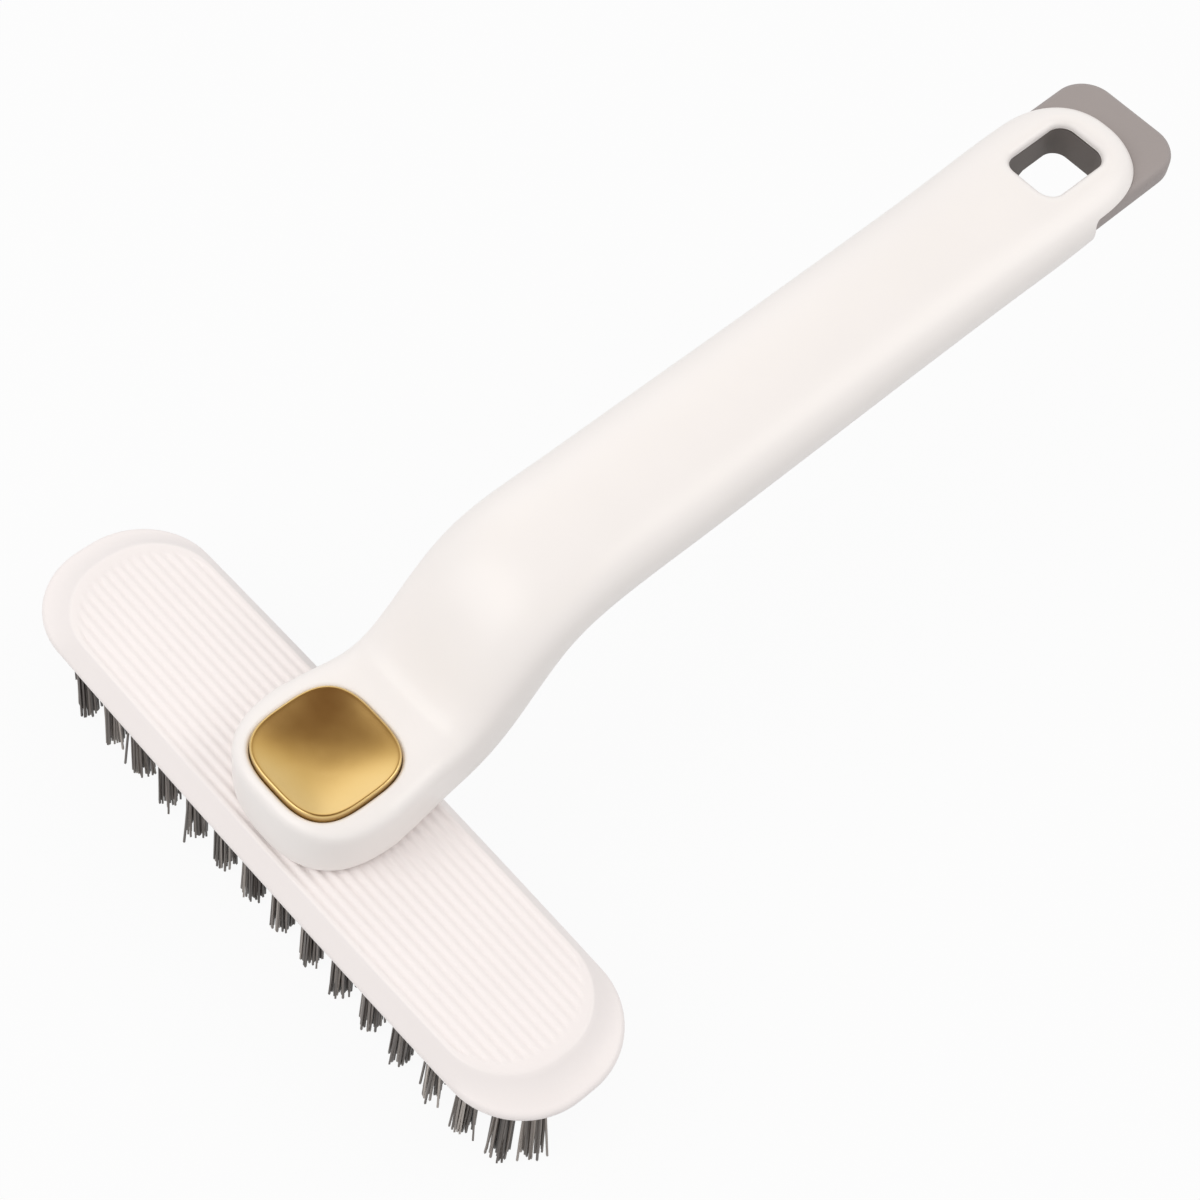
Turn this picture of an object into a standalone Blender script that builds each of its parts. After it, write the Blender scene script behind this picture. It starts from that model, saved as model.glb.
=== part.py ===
"""Bathroom cleaning brush: a long oval tufted head that swivels under a bent, hollow handle.

Working frame, in metres: the origin lies on the swivel axis, level with the top edge of the head's rim.
+X runs along the head, +Y towards the handle's tail and +Z up the swivel axis. The root empty then
shifts the whole brush so that its origin is the middle of its base, under the bristle tips.
"""
import math
import random

import bmesh
import bpy
from mathutils import Matrix, Vector

for old in list(bpy.data.objects):
    bpy.data.objects.remove(old, do_unlink=True)

# Fits shared by all pieces
FIT = 0.0003
OVERRUN = 0.002
SEAM_SINK = 0.0004

# Head: plan outline, rim and ribbed pad
HEAD_LENGTH = 0.155
HEAD_WIDTH = 0.0368
HEAD_CORNER = 0.0166
HEAD_BOW = 0.0008
RIM_DEPTH = 0.0032
PAD_HEIGHT = 0.0030
PAD_SIDE_INSET = 0.0032
PAD_END_INSET = 0.0075
COVER_WALL = 0.0020
GROOVE_DEPTH = 0.0005
GROOVE_BORDER = 0.0014
GROOVE_COUNT = 16
GROOVE_WIDTH_SHARE = 0.5

# Tuft plate under the head
PLATE_INSET = 0.0016
PLATE_DROP = 0.0033
PLATE_EDGE = 0.0006
LIP_HEIGHT = 0.0010

# Bristles: rows of tufts, each fused to its own strip of backing
BRISTLE_DROP = 0.0230
TRIM_DEPTH = 0.0005
LENGTH_SCATTER = 0.0016
STRAND_RADIUS = 0.00042
STRANDS_PER_TUFT = 5
TUFT_RADIUS = 0.0014
STRIP_WIDTH = 0.0054
STRIP_DEPTH = 0.0010
OUTER_ROW = 0.0130
INNER_ROW = 0.0054
OUTER_ROW_END = 0.0175
INNER_ROW_END = 0.0165
OUTER_TUFTS = 14
INNER_TUFTS = 12
END_CENTRE_INSET = 0.0190
END_RADIUS = 0.0132
END_TUFT_TURNS = (math.radians(-50), math.radians(-27), math.radians(27), math.radians(50))
SPREAD = math.radians(3.2)
OUTWARD_LEAN = math.radians(3.0)

# Hub of the head and the tooth form it shares with the lock gear and the core
HUB_RADIUS = 0.0120
HUB_RISE = 0.0032
HUB_FLOOR_TOP = 0.0014
HUB_FLOOR_DEPTH = 0.0018
TOOTH_COUNT = 24
GEAR_TIP_RADIUS = 0.0090
GEAR_ROOT_RADIUS = 0.0081
TOOTH_TIP_SHARE = 0.26
TOOTH_ROOT_SHARE = 0.56

# Lock gear: toothed where it slides in the hub, with a cone above that the spring seats in the core
LOCK_TRAVEL = 0.0022
GEAR_GRIP = 0.0019
CONE_RADIUS = 0.0081
CONE_TAPER = 0.0007
SPRING_WIRE_RADIUS = 0.0003
SPRING_RADIUS = 0.0054
SPRING_TURNS = 3.5
GEAR_ROOF = 0.0014
GEAR_WELL_RADIUS = 0.0070

# Pivot core that is screwed up into the handle's boss
CORE_RADIUS = 0.0129
CORE_GAP = 0.0004
CORE_RING = 0.0022
CORE_FLANGE = 0.0015
POST_RADIUS = 0.0036
SPIGOT_RADIUS = 0.0029
PILOT_RADIUS = 0.00145
LEG_RADIUS = 0.0011
LEG_CIRCLE = 0.0063
LEG_COUNT = 4
CORE_SCREW_CIRCLE = 0.0111

# Pivot screw and washer
WASHER_RADIUS = 0.0052
WASHER_THICKNESS = 0.0008
PIVOT_HEAD_RADIUS = 0.0030
PIVOT_HEAD_HEIGHT = 0.0018
PIVOT_SHANK_RADIUS = 0.00115
PIVOT_SHANK_LENGTH = 0.0070

# Small screws
SMALL_HEAD_RADIUS = 0.0020
SMALL_HEAD_HEIGHT = 0.0011
SMALL_SHANK_RADIUS = 0.0009
PLATE_SCREW_GRIP = 0.0022
PLATE_SCREW_SHARES = (-0.80, -0.40, 0.40, 0.80)
PLATE_POST_RADIUS = 0.0027
CORE_HEAD_RADIUS = 0.0014
CORE_HEAD_HEIGHT = 0.0009
CORE_SHANK_RADIUS = 0.0007

# Button in the boss
BUTTON_HALF_LENGTH = 0.0129
BUTTON_HALF_WIDTH = 0.0125
BUTTON_SQUARENESS = 3.1
BUTTON_OFFSET = 0.0006
BUTTON_PROUD = 0.0009
BUTTON_SKIRT = 0.0046
BUTTON_WALL = 0.0014
BUTTON_DISH = 0.0017
BUTTON_WEB = 0.0012
PLUNGER_PLATE = 0.0011

# Handle: one hollow shell from the boss to the tail
BOSS_HALF_HEIGHT = 0.0075
BOSS_NOSE = 0.0148
NOSE_SHOULDER = 0.0050
NOSE_ROUND = 2.8
NOSE_EDGE = 7.0
BOSS_GAP = 0.0003
DECK_THICKNESS = 0.0016
NECK_LENGTH = 0.0662
NECK_RISE = 0.0261
HANDLE_REACH = 0.2143
GRIP_RISE = 0.0111
HANDLE_HALF_WIDTH = 0.0184
HANDLE_HALF_DEPTH = 0.0092
HANDLE_WALL = 0.0022
PATH_STEP = 0.0009
TIP_LENGTH = 0.0190
TIP_ROUND = 2.5
TIP_EDGE = 4.2
PARTING_DROP = 0.0052
COVER_START = 0.0325

# Stations of the neck, then of the grip up to the tip. Shares of the stretch's length and rise, of the half
# width, of the half depth above and below the centreline, then how square the section is above and below
NECK_SHARES = (
    (0.000, 0.000, 1.000, 0.815, 0.815, 5.5, 10.0),
    (0.076, 0.000, 1.000, 0.815, 0.815, 5.4, 10.0),
    (0.180, 0.000, 0.945, 0.820, 0.815, 5.2, 10.0),
    (0.271, 0.007, 0.882, 0.785, 0.805, 4.6, 8.0),
    (0.360, 0.026, 0.904, 0.865, 0.830, 3.9, 5.5),
    (0.464, 0.226, 0.903, 0.943, 0.880, 3.2, 4.0),
    (0.556, 0.570, 0.910, 0.992, 0.920, 2.9, 3.4),
    (0.660, 0.844, 0.908, 1.010, 0.940, 2.7, 3.0),
    (0.804, 0.956, 0.883, 1.006, 0.940, 2.6, 2.9),
    (1.000, 1.000, 0.868, 1.000, 0.940, 2.6, 2.8),
)
GRIP_SHARES = (
    (0.096, 0.081, 0.870, 0.995, 0.940, 2.6, 2.8),
    (0.295, 0.263, 0.862, 0.985, 0.935, 2.6, 2.8),
    (0.499, 0.472, 0.857, 0.965, 0.915, 2.6, 2.8),
    (0.701, 0.674, 0.866, 0.930, 0.830, 2.6, 2.8),
    (0.825, 0.806, 0.888, 0.885, 0.730, 2.5, 2.8),
    (0.886, 0.873, 0.888, 0.870, 0.420, 2.5, 2.8),
    (1.000, 1.000, 0.888, 0.850, 0.390, 2.5, 2.8),
)

# Tail tab and hanging hole
TAIL_BACK = 0.0184
TAB_TOP = 0.0032
TAB_DEPTH = 0.0059
TAB_HALF_WIDTH = 0.0150
TAB_CORNER = 0.0078
TAB_REACH = 0.0275
TAB_EDGE = 0.0018
NOTCH_BACK = 0.0026
NOTCH_ROUND = 0.0016
COVER_PAST_NOTCH = 0.0043
COVER_END_SHARE = 0.5
HOLE_HALF_WIDTH = 0.0065
HOLE_HALF_LENGTH = 0.0090
HOLE_CORNER = 0.0037
HOLE_FLARE = 0.0015
HOLE_SHIFT = 0.0011
TAB_HOLE_GROW = 0.0008

# Lower cover and its screws
COVER_SCREW_SHARES = (0.300, 0.760)
COVER_POST_RADIUS = 0.0032
COVER_SCREW_GRIP = 0.0065

# Levels that several pieces share
TIP_PLANE = -RIM_DEPTH - PLATE_DROP - BRISTLE_DROP
PLATE_BOTTOM = -RIM_DEPTH - PLATE_DROP
BOSS_BOTTOM = PAD_HEIGHT + BOSS_GAP
BOSS_CENTRE = BOSS_BOTTOM + BOSS_HALF_HEIGHT
BOSS_TOP = BOSS_CENTRE + BOSS_HALF_HEIGHT
HUB_TOP = PAD_HEIGHT + HUB_RISE
HUB_FLOOR_BOTTOM = HUB_FLOOR_TOP - HUB_FLOOR_DEPTH
CORE_BOTTOM = HUB_TOP + CORE_GAP
CORE_WEB = CORE_BOTTOM + CORE_RING
CORE_TOP = CORE_WEB + CORE_FLANGE
DECK_BOTTOM = CORE_TOP + FIT
DECK_TOP = DECK_BOTTOM + DECK_THICKNESS
GEAR_TOP = CORE_BOTTOM + GEAR_GRIP
GEAR_BOTTOM = HUB_FLOOR_TOP + LOCK_TRAVEL + FIT
SPIGOT_END = HUB_FLOOR_BOTTOM - FIT
BUTTON_TOP = BOSS_TOP + BUTTON_PROUD
TAB_BOTTOM = TAB_TOP - TAB_DEPTH
TAIL_AT = HANDLE_REACH - TAIL_BACK
NOTCH_AT = TAIL_AT - NOTCH_BACK
ROOT_BACK = HOLE_HALF_LENGTH + TAB_HOLE_GROW + HANDLE_WALL - HOLE_SHIFT
CAVITY_END = TAIL_AT - ROOT_BACK
END_CENTRE = HEAD_LENGTH / 2 - END_CENTRE_INSET

scene_root = bpy.data.objects.new("brush_root", None)
bpy.context.scene.collection.objects.link(scene_root)


def empty(name, parent, location=(0, 0, 0)):
    """A parent for the pieces of one moving body, on its joint's axis."""
    holder = bpy.data.objects.new(name, None)
    bpy.context.scene.collection.objects.link(holder)
    holder.parent = parent
    holder.location = location
    return holder


def paint(name, colour, roughness, metallic=0.0):
    """A plain Principled material."""
    material = bpy.data.materials.new(name)
    material.use_nodes = True
    shader = material.node_tree.nodes["Principled BSDF"]
    shader.inputs["Base Color"].default_value = (*colour, 1.0)
    shader.inputs["Roughness"].default_value = roughness
    shader.inputs["Metallic"].default_value = metallic
    return material


def place(bm, name, parent=None, material=None, sharp=math.radians(35)):
    """Turns a bmesh into a smooth shaded object."""
    bmesh.ops.recalc_face_normals(bm, faces=bm.faces)
    mesh = bpy.data.meshes.new(name)
    bm.to_mesh(mesh)
    bm.free()
    mesh.shade_smooth()
    mesh.set_sharp_from_angle(angle=sharp)
    made = bpy.data.objects.new(name, mesh)
    bpy.context.scene.collection.objects.link(made)
    made.parent = parent
    if material:
        mesh.materials.append(material)
    return made


def combine(target, tool, operation):
    """Joins a tool to the target or cuts it away, and keeps the result as the target's mesh."""
    modifier = target.modifiers.new(operation.lower(), "BOOLEAN")
    modifier.object = tool
    modifier.operation = operation
    modifier.solver = "EXACT"
    graph = bpy.context.evaluated_depsgraph_get()
    result = bpy.data.meshes.new_from_object(target.evaluated_get(graph), depsgraph=graph)
    target.modifiers.remove(modifier)
    target.data = result
    bpy.data.objects.remove(tool, do_unlink=True)


def cut(target, *tools):
    """Cuts each tool away from the target."""
    for tool in tools:
        combine(target, tool, "DIFFERENCE")


def join(target, *tools):
    """Fuses each tool to the target."""
    for tool in tools:
        combine(target, tool, "UNION")


def finish(target, name, material, parent, sharp=math.radians(35)):
    """Welds a finished solid, drops triangles folded onto each other, and gives it its name and parent."""
    bm = bmesh.new()
    bm.from_mesh(target.data)
    bmesh.ops.remove_doubles(bm, verts=bm.verts, dist=SEAM_SINK * 0.02)
    bmesh.ops.triangulate(bm, faces=bm.faces)
    bmesh.ops.dissolve_degenerate(bm, edges=bm.edges, dist=SEAM_SINK * 0.01)
    bmesh.ops.triangulate(bm, faces=bm.faces)
    corners = {}
    for face in bm.faces:
        corners.setdefault(frozenset(face.verts), []).append(face)
    folded = [face for faces in corners.values() if len(faces) > 1 for face in faces]
    bmesh.ops.delete(bm, geom=folded, context="FACES")
    bpy.data.objects.remove(target, do_unlink=True)
    return place(bm, name, parent, material, sharp)


def loft(rings):
    """A closed solid through rings of equal count, with its first and last ring filled."""
    bm = bmesh.new()
    loops = [[bm.verts.new(point) for point in ring] for ring in rings]
    for lower, upper in zip(loops, loops[1:]):
        for here in range(len(lower)):
            after = (here + 1) % len(lower)
            bm.faces.new((lower[here], lower[after], upper[after], upper[here]))
    bm.faces.new(list(reversed(loops[0])))
    bm.faces.new(loops[-1])
    return bm


def turned(profile, segments, centre=(0, 0)):
    """A solid of revolution about Z from (radius, height) pairs, top or bottom first."""
    rings = []
    for radius, height in profile:
        ring = []
        for step in range(segments):
            turn = math.tau * step / segments
            ring.append((centre[0] + radius * math.cos(turn), centre[1] + radius * math.sin(turn), height))
        rings.append(ring)
    return loft(rings)


def head_outline(side_inset, end_inset, height, corner_steps=7, side_steps=5):
    """The head's plan outline: a long rounded oval with slightly bowed sides, drawn in by two insets."""
    half_length = HEAD_LENGTH / 2 - end_inset
    half_width = HEAD_WIDTH / 2 - side_inset
    corner = min(HEAD_CORNER - side_inset / 2, half_width * 0.94)
    points = []
    for side_x, side_y, start in ((1, 1, 0.0), (-1, 1, 0.25), (-1, -1, 0.5), (1, -1, 0.75)):
        for step in range(corner_steps):
            turn = math.tau * (start + 0.25 * step / (corner_steps - 1))
            x = side_x * (half_length - corner) + corner * math.cos(turn)
            y = side_y * (half_width - corner) + corner * math.sin(turn)
            points.append((x, y))
        if side_x == side_y:
            run = half_length - corner
            for step in range(1, side_steps):
                points.append((side_x * run * (1 - 2 * step / side_steps), side_y * half_width))
    bow = HEAD_BOW * half_width / (HEAD_WIDTH / 2)
    ring = []
    for x, y in points:
        swell = bow * (1 - (x / half_length) ** 2) * y / half_width
        ring.append(Vector((x, y + swell, height)))
    return ring


def gear_outline(clearance, height):
    """The lock gear's toothed outline, let out by a clearance for the sockets that hold it."""
    pitch = math.tau / TOOTH_COUNT
    ring = []
    for tooth in range(TOOTH_COUNT):
        middle = pitch * tooth
        for radius, share, side in (
            (GEAR_ROOT_RADIUS, TOOTH_ROOT_SHARE, -1),
            (GEAR_TIP_RADIUS, TOOTH_TIP_SHARE, -1),
            (GEAR_TIP_RADIUS, TOOTH_TIP_SHARE, 1),
            (GEAR_ROOT_RADIUS, TOOTH_ROOT_SHARE, 1),
        ):
            out = radius + clearance
            turn = middle + side * (pitch * share / 2 + clearance / radius)
            ring.append(Vector((out * math.cos(turn), out * math.sin(turn), height)))
    return ring


def squircle(half_x, half_y, squareness, height, centre_y=0.0, steps=32):
    """A rounded square outline."""
    ring = []
    for step in range(steps):
        turn = math.tau * step / steps
        c, s = math.cos(turn), math.sin(turn)
        x = half_x * math.copysign(abs(c) ** (2 / squareness), c)
        y = half_y * math.copysign(abs(s) ** (2 / squareness), s)
        ring.append(Vector((x, centre_y + y, height)))
    return ring


# Materials
white_plastic = paint("white_plastic", (0.905, 0.865, 0.84), 0.34)
grey_plastic = paint("grey_plastic", (0.37, 0.335, 0.32), 0.55)
plate_plastic = paint("plate_plastic", (0.86, 0.83, 0.81), 0.45)
gold_plating = paint("gold_plating", (0.62, 0.42, 0.13), 0.28, 1.0)
core_plastic = paint("core_plastic", (0.80, 0.80, 0.78), 0.4)
gear_plastic = paint("gear_plastic", (0.72, 0.73, 0.74), 0.35)
nylon_bristle = paint("nylon_bristle", (0.16, 0.145, 0.135), 0.6)
spring_steel = paint("spring_steel", (0.6, 0.6, 0.62), 0.3, 1.0)
screw_steel = paint("screw_steel", (0.65, 0.65, 0.66), 0.32, 1.0)

# The swivel lets the head turn under the handle; the lock gear rides in the head, the button in the handle
head_body = empty("head_pivot", scene_root)
gear_body = empty("gear_slide", head_body)
button_body = empty("button_slide", scene_root)


# Head cover
COVER_PROFILE_SHARES = (
    (0.12, 0.05, -1.0),
    (0.00, 0.00, -0.82),
    (0.00, 0.00, -0.28),
    (0.10, 0.05, -0.05),
    (0.32, 0.20, 0.02),
    (0.58, 0.48, 0.13),
    (0.80, 0.74, 0.45),
    (0.92, 0.90, 0.84),
    (1.00, 1.00, 1.00),
)


def pad_half_length(y, border):
    """How far the ribbed pad reaches along the head at a given distance from its middle line."""
    half_length = HEAD_LENGTH / 2 - PAD_END_INSET - border
    half_width = HEAD_WIDTH / 2 - PAD_SIDE_INSET - border
    corner = min(HEAD_CORNER - PAD_SIDE_INSET / 2 - border, half_width * 0.94)
    beyond = abs(y) - (half_width - corner)
    if beyond <= 0:
        return half_length
    return half_length - corner + math.sqrt(max(corner**2 - beyond**2, 0.0))


def build_head_cover():
    """The white oval moulding: rim, sloped shoulder, ribbed pad, toothed hub and posts for the plate."""
    rings = []
    for side, end, level in COVER_PROFILE_SHARES:
        height = level * (RIM_DEPTH if level < 0 else PAD_HEIGHT)
        rings.append(head_outline(side * PAD_SIDE_INSET, end * PAD_END_INSET, height))
    cover = place(loft(rings), "cover_body")

    grooves = bmesh.new()
    span = HEAD_WIDTH / 2 - PAD_SIDE_INSET - GROOVE_BORDER
    pitch = 2 * span / GROOVE_COUNT
    for index in range(GROOVE_COUNT):
        middle = -span + pitch * (index + 0.5)
        reach = pad_half_length(middle, GROOVE_BORDER)
        half = pitch * GROOVE_WIDTH_SHARE / 2
        low, high = PAD_HEIGHT - GROOVE_DEPTH, PAD_HEIGHT + GROOVE_DEPTH
        bottom = [(-1, -1), (1, -1), (1, 1), (-1, 1)]
        rings = []
        levels = ((low, half * 0.45, reach - GROOVE_DEPTH), (high, half * 1.55, reach + GROOVE_DEPTH))
        for height, wide, long in levels:
            rings.append([grooves.verts.new((a * long, middle + b * wide, height)) for a, b in bottom])
        grooves.faces.new(list(reversed(rings[0])))
        grooves.faces.new(rings[1])
        for here in range(4):
            after = (here + 1) % 4
            grooves.faces.new((rings[0][here], rings[0][after], rings[1][after], rings[1][here]))
    cut(cover, place(grooves, "grooves"))

    side, end = PAD_SIDE_INSET + COVER_WALL, PAD_END_INSET + COVER_WALL
    roof = PAD_HEIGHT - COVER_WALL
    hollow = loft([
        head_outline(COVER_WALL, COVER_WALL, -RIM_DEPTH - OVERRUN),
        head_outline(COVER_WALL, COVER_WALL, -RIM_DEPTH + LIP_HEIGHT + FIT),
        head_outline(side, end, roof),
    ])
    cut(cover, place(hollow, "hollow"))

    hub = turned([(HUB_RADIUS, HUB_FLOOR_BOTTOM), (HUB_RADIUS, HUB_TOP)], 48)
    join(cover, place(hub, "hub"))
    socket = loft([gear_outline(FIT * 0.8, HUB_FLOOR_TOP), gear_outline(FIT * 0.8, HUB_TOP + OVERRUN)])
    bore = turned([
        (SPIGOT_RADIUS + FIT, HUB_FLOOR_BOTTOM - OVERRUN),
        (SPIGOT_RADIUS + FIT, HUB_FLOOR_TOP + OVERRUN),
    ], 24)
    cut(cover, place(socket, "socket"), place(bore, "bore"))

    post_end = -RIM_DEPTH + LIP_HEIGHT + FIT
    for share in PLATE_SCREW_SHARES:
        centre = (share * (HEAD_LENGTH / 2 - PAD_END_INSET - COVER_WALL), 0)
        post = turned([(PLATE_POST_RADIUS, post_end), (PLATE_POST_RADIUS, roof + SEAM_SINK)], 16, centre)
        pilot = turned([
            (SMALL_SHANK_RADIUS + FIT, post_end - OVERRUN),
            (SMALL_SHANK_RADIUS + FIT, post_end + PLATE_SCREW_GRIP + FIT),
        ], 10, centre)
        join(cover, place(post, "post"))
        cut(cover, place(pilot, "pilot"))
    return finish(cover, "head_cover", white_plastic, head_body)


# Tuft plate and the strips that carry the bristles
def ribbon(pairs, low, high):
    """A flat strip through pairs of points across it, with one face for each stretch between two pairs."""
    bm = bmesh.new()
    loops = []
    for left, right in pairs:
        corners = ((*left, low), (*right, low), (*right, high), (*left, high))
        loops.append([bm.verts.new(corner) for corner in corners])
    for first, second in zip(loops, loops[1:]):
        for here in range(4):
            after = (here + 1) % 4
            bm.faces.new((first[here], first[after], second[after], second[here]))
    bm.faces.new(list(reversed(loops[0])))
    bm.faces.new(loops[-1])
    return bm


def row_strip(reach, y, count, grow, low, high):
    """A straight strip of backing with rounded ends and a stretch for each tuft."""
    radius = STRIP_WIDTH / 2 + grow
    pitch = 2 * reach / (count - 1)
    stops = [(-reach - radius * math.cos(turn), radius * math.sin(turn)) for turn in (0.3, 0.75)]
    stops += [(-reach + pitch * (index + 0.5), radius) for index in range(count - 1)]
    stops += [(reach + radius * math.cos(turn), radius * math.sin(turn)) for turn in (0.75, 0.3)]
    return ribbon([((x, y - half), (x, y + half)) for x, half in stops], low, high)


def end_strip(side, grow, bottom, top):
    """A curved strip of backing round one end of the head, with a stretch for each tuft."""
    sweep = END_TUFT_TURNS[-1] + (STRIP_WIDTH * 0.42 + grow) / END_RADIUS
    turns = [(low + high) / 2 for low, high in zip(END_TUFT_TURNS, END_TUFT_TURNS[1:])]
    pairs = []
    for turn in [-sweep] + turns + [sweep]:
        pair = []
        for radius in (END_RADIUS - STRIP_WIDTH / 2 - grow, END_RADIUS + STRIP_WIDTH / 2 + grow):
            pair.append((side * (END_CENTRE + radius * math.cos(turn)), radius * math.sin(turn)))
        pairs.append(pair)
    return ribbon(pairs, bottom, top)


ROWS = {
    "bristles_front_row": (HEAD_LENGTH / 2 - OUTER_ROW_END, -OUTER_ROW, OUTER_TUFTS),
    "bristles_rear_row": (HEAD_LENGTH / 2 - OUTER_ROW_END, OUTER_ROW, OUTER_TUFTS),
    "bristles_inner_front_row": (HEAD_LENGTH / 2 - INNER_ROW_END, -INNER_ROW, INNER_TUFTS),
    "bristles_inner_rear_row": (HEAD_LENGTH / 2 - INNER_ROW_END, INNER_ROW, INNER_TUFTS),
}
ENDS = {"bristles_left_end": -1, "bristles_right_end": 1}


def build_tuft_plate():
    """The plate that closes the head from below, with a lip inside the rim and grooves for the strips."""
    lip = COVER_WALL + FIT
    shoulder = -RIM_DEPTH - FIT
    top = -RIM_DEPTH + LIP_HEIGHT
    plate = place(loft([
        head_outline(PLATE_INSET + PLATE_EDGE, PLATE_INSET + PLATE_EDGE, PLATE_BOTTOM),
        head_outline(PLATE_INSET, PLATE_INSET, PLATE_BOTTOM + PLATE_EDGE),
        head_outline(PLATE_INSET, PLATE_INSET, shoulder),
        head_outline(lip, lip, shoulder),
        head_outline(lip, lip, top),
    ]), "plate_body")
    low, high = PLATE_BOTTOM - OVERRUN, PLATE_BOTTOM + STRIP_DEPTH + FIT
    for reach, y, count in ROWS.values():
        cut(plate, place(row_strip(reach, y, count, FIT, low, high), "groove"))
    for side in ENDS.values():
        cut(plate, place(end_strip(side, FIT, low, high), "groove"))
    for share in PLATE_SCREW_SHARES:
        centre = (share * (HEAD_LENGTH / 2 - PAD_END_INSET - COVER_WALL), 0)
        seat = PLATE_BOTTOM + SMALL_HEAD_HEIGHT + FIT
        hole = turned([
            (SMALL_HEAD_RADIUS + FIT, low),
            (SMALL_HEAD_RADIUS + FIT, seat),
            (SMALL_SHANK_RADIUS + FIT, seat),
            (SMALL_SHANK_RADIUS + FIT, top + OVERRUN),
        ], 14, centre)
        cut(plate, place(hole, "hole"))
    pocket = turned([
        (PIVOT_HEAD_RADIUS + 2 * FIT, PIVOT_HEAD_BOTTOM - FIT),
        (PIVOT_HEAD_RADIUS + 2 * FIT, top + OVERRUN),
    ], 20)
    cut(plate, place(pocket, "pocket"))
    return finish(plate, "tuft_plate", plate_plastic, head_body)


WASHER_TOP = SPIGOT_END - FIT
PIVOT_HEAD_TOP = WASHER_TOP - WASHER_THICKNESS - FIT
PIVOT_HEAD_BOTTOM = PIVOT_HEAD_TOP - PIVOT_HEAD_HEIGHT


def strand(bm, foot, lean, length_end, turn0):
    """One three-sided strand from its foot in the strip to its trimmed tip."""
    drop = foot.z - length_end
    rings = []
    for height, shift in ((foot.z, Vector((0, 0))), (length_end, lean * drop)):
        ring = []
        for corner in range(3):
            turn = turn0 + math.tau * corner / 3
            x = foot.x + shift.x + STRAND_RADIUS * math.cos(turn)
            y = foot.y + shift.y + STRAND_RADIUS * math.sin(turn)
            ring.append(bm.verts.new((x, y, height)))
        rings.append(ring)
    bm.faces.new(rings[0])
    bm.faces.new(list(reversed(rings[1])))
    for here in range(3):
        after = (here + 1) % 3
        bm.faces.new((rings[0][after], rings[0][here], rings[1][here], rings[1][after]))


def tuft(bm, rng, x, y, outward):
    """A bunch of strands that spread from one hole, lean outward as one and never cross."""
    foot_height = PLATE_BOTTOM + STRIP_DEPTH / 2
    start = rng.uniform(0, math.tau)
    for index in range(STRANDS_PER_TUFT):
        turn = start + math.tau * index / STRANDS_PER_TUFT
        radial = Vector((math.cos(turn), math.sin(turn)))
        lean = radial * math.tan(SPREAD) * rng.uniform(0.5, 1.0) + outward * math.tan(OUTWARD_LEAN)
        foot = Vector((x + radial.x * TUFT_RADIUS, y + radial.y * TUFT_RADIUS, foot_height))
        scatter = LENGTH_SCATTER * rng.random() - TRIM_DEPTH
        strand(bm, foot, lean, max(TIP_PLANE, TIP_PLANE + scatter), turn)


def build_bristles():
    """Six groups of tufts, each fused to its own strip of backing."""
    rng = random.Random(23)
    made = []
    low, high = PLATE_BOTTOM, PLATE_BOTTOM + STRIP_DEPTH
    for name, (reach, y, count) in ROWS.items():
        strip = place(row_strip(reach, y, count, 0.0, low, high), "strip")
        strands = bmesh.new()
        for index in range(count):
            x = -reach + 2 * reach * index / (count - 1)
            outward = Vector((0, math.copysign(1, y) if abs(y) > (OUTER_ROW + INNER_ROW) / 2 else 0))
            tuft(strands, rng, x, y, outward)
        bmesh.ops.triangulate(strands, faces=strands.faces)
        join(strip, place(strands, "strands"))
        made.append(finish(strip, name, nylon_bristle, head_body, math.radians(25)))
    for name, side in ENDS.items():
        strip = place(end_strip(side, 0.0, low, high), "strip")
        strands = bmesh.new()
        for turn in END_TUFT_TURNS:
            direction = Vector((side * math.cos(turn), math.sin(turn)))
            x = side * END_CENTRE + END_RADIUS * direction.x
            tuft(strands, rng, x, END_RADIUS * direction.y, direction)
        bmesh.ops.triangulate(strands, faces=strands.faces)
        join(strip, place(strands, "strands"))
        made.append(finish(strip, name, nylon_bristle, head_body, math.radians(25)))
    return made


# Screws: a domed head with a drive recess on a plain shank
def screw_mesh(head_radius, head_height, shank_radius, shank_length, segments):
    """A screw that points up, with the underside of its head at height zero."""
    drive = head_radius * 0.45
    return turned([
        (drive * 0.3, -head_height + head_height * 0.5),
        (drive, -head_height + head_height * 0.45),
        (drive, -head_height),
        (head_radius * 0.8, -head_height),
        (head_radius, -head_height * 0.7),
        (head_radius, 0),
        (shank_radius, 0),
        (shank_radius, shank_length - shank_radius),
        (shank_radius * 0.3, shank_length),
    ], segments)


def build_screw(name, sizes, matrix, parent, segments=8):
    """A screw put in its place by a matrix."""
    bm = screw_mesh(*sizes, segments)
    bmesh.ops.transform(bm, matrix=matrix, verts=bm.verts)
    return place(bm, name, parent, screw_steel, math.radians(40))


def build_plate_screws():
    """Four screws that hold the tuft plate to the posts of the cover."""
    under_head = PLATE_BOTTOM + SMALL_HEAD_HEIGHT
    post_end = -RIM_DEPTH + LIP_HEIGHT + FIT
    length = post_end + PLATE_SCREW_GRIP - FIT - under_head
    sizes = (SMALL_HEAD_RADIUS, SMALL_HEAD_HEIGHT, SMALL_SHANK_RADIUS, length)
    for number, share in enumerate(PLATE_SCREW_SHARES, 1):
        x = share * (HEAD_LENGTH / 2 - PAD_END_INSET - COVER_WALL)
        build_screw(f"plate_screw_{number}", sizes, Matrix.Translation((x, 0, under_head)), head_body)


# Lock gear and spring
def cone_radius(height):
    """Radius of the gear's cone, which narrows from the hub's top to the gear's top."""
    return CONE_RADIUS - CONE_TAPER * (height - HUB_TOP) / (GEAR_TOP - HUB_TOP)


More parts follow.
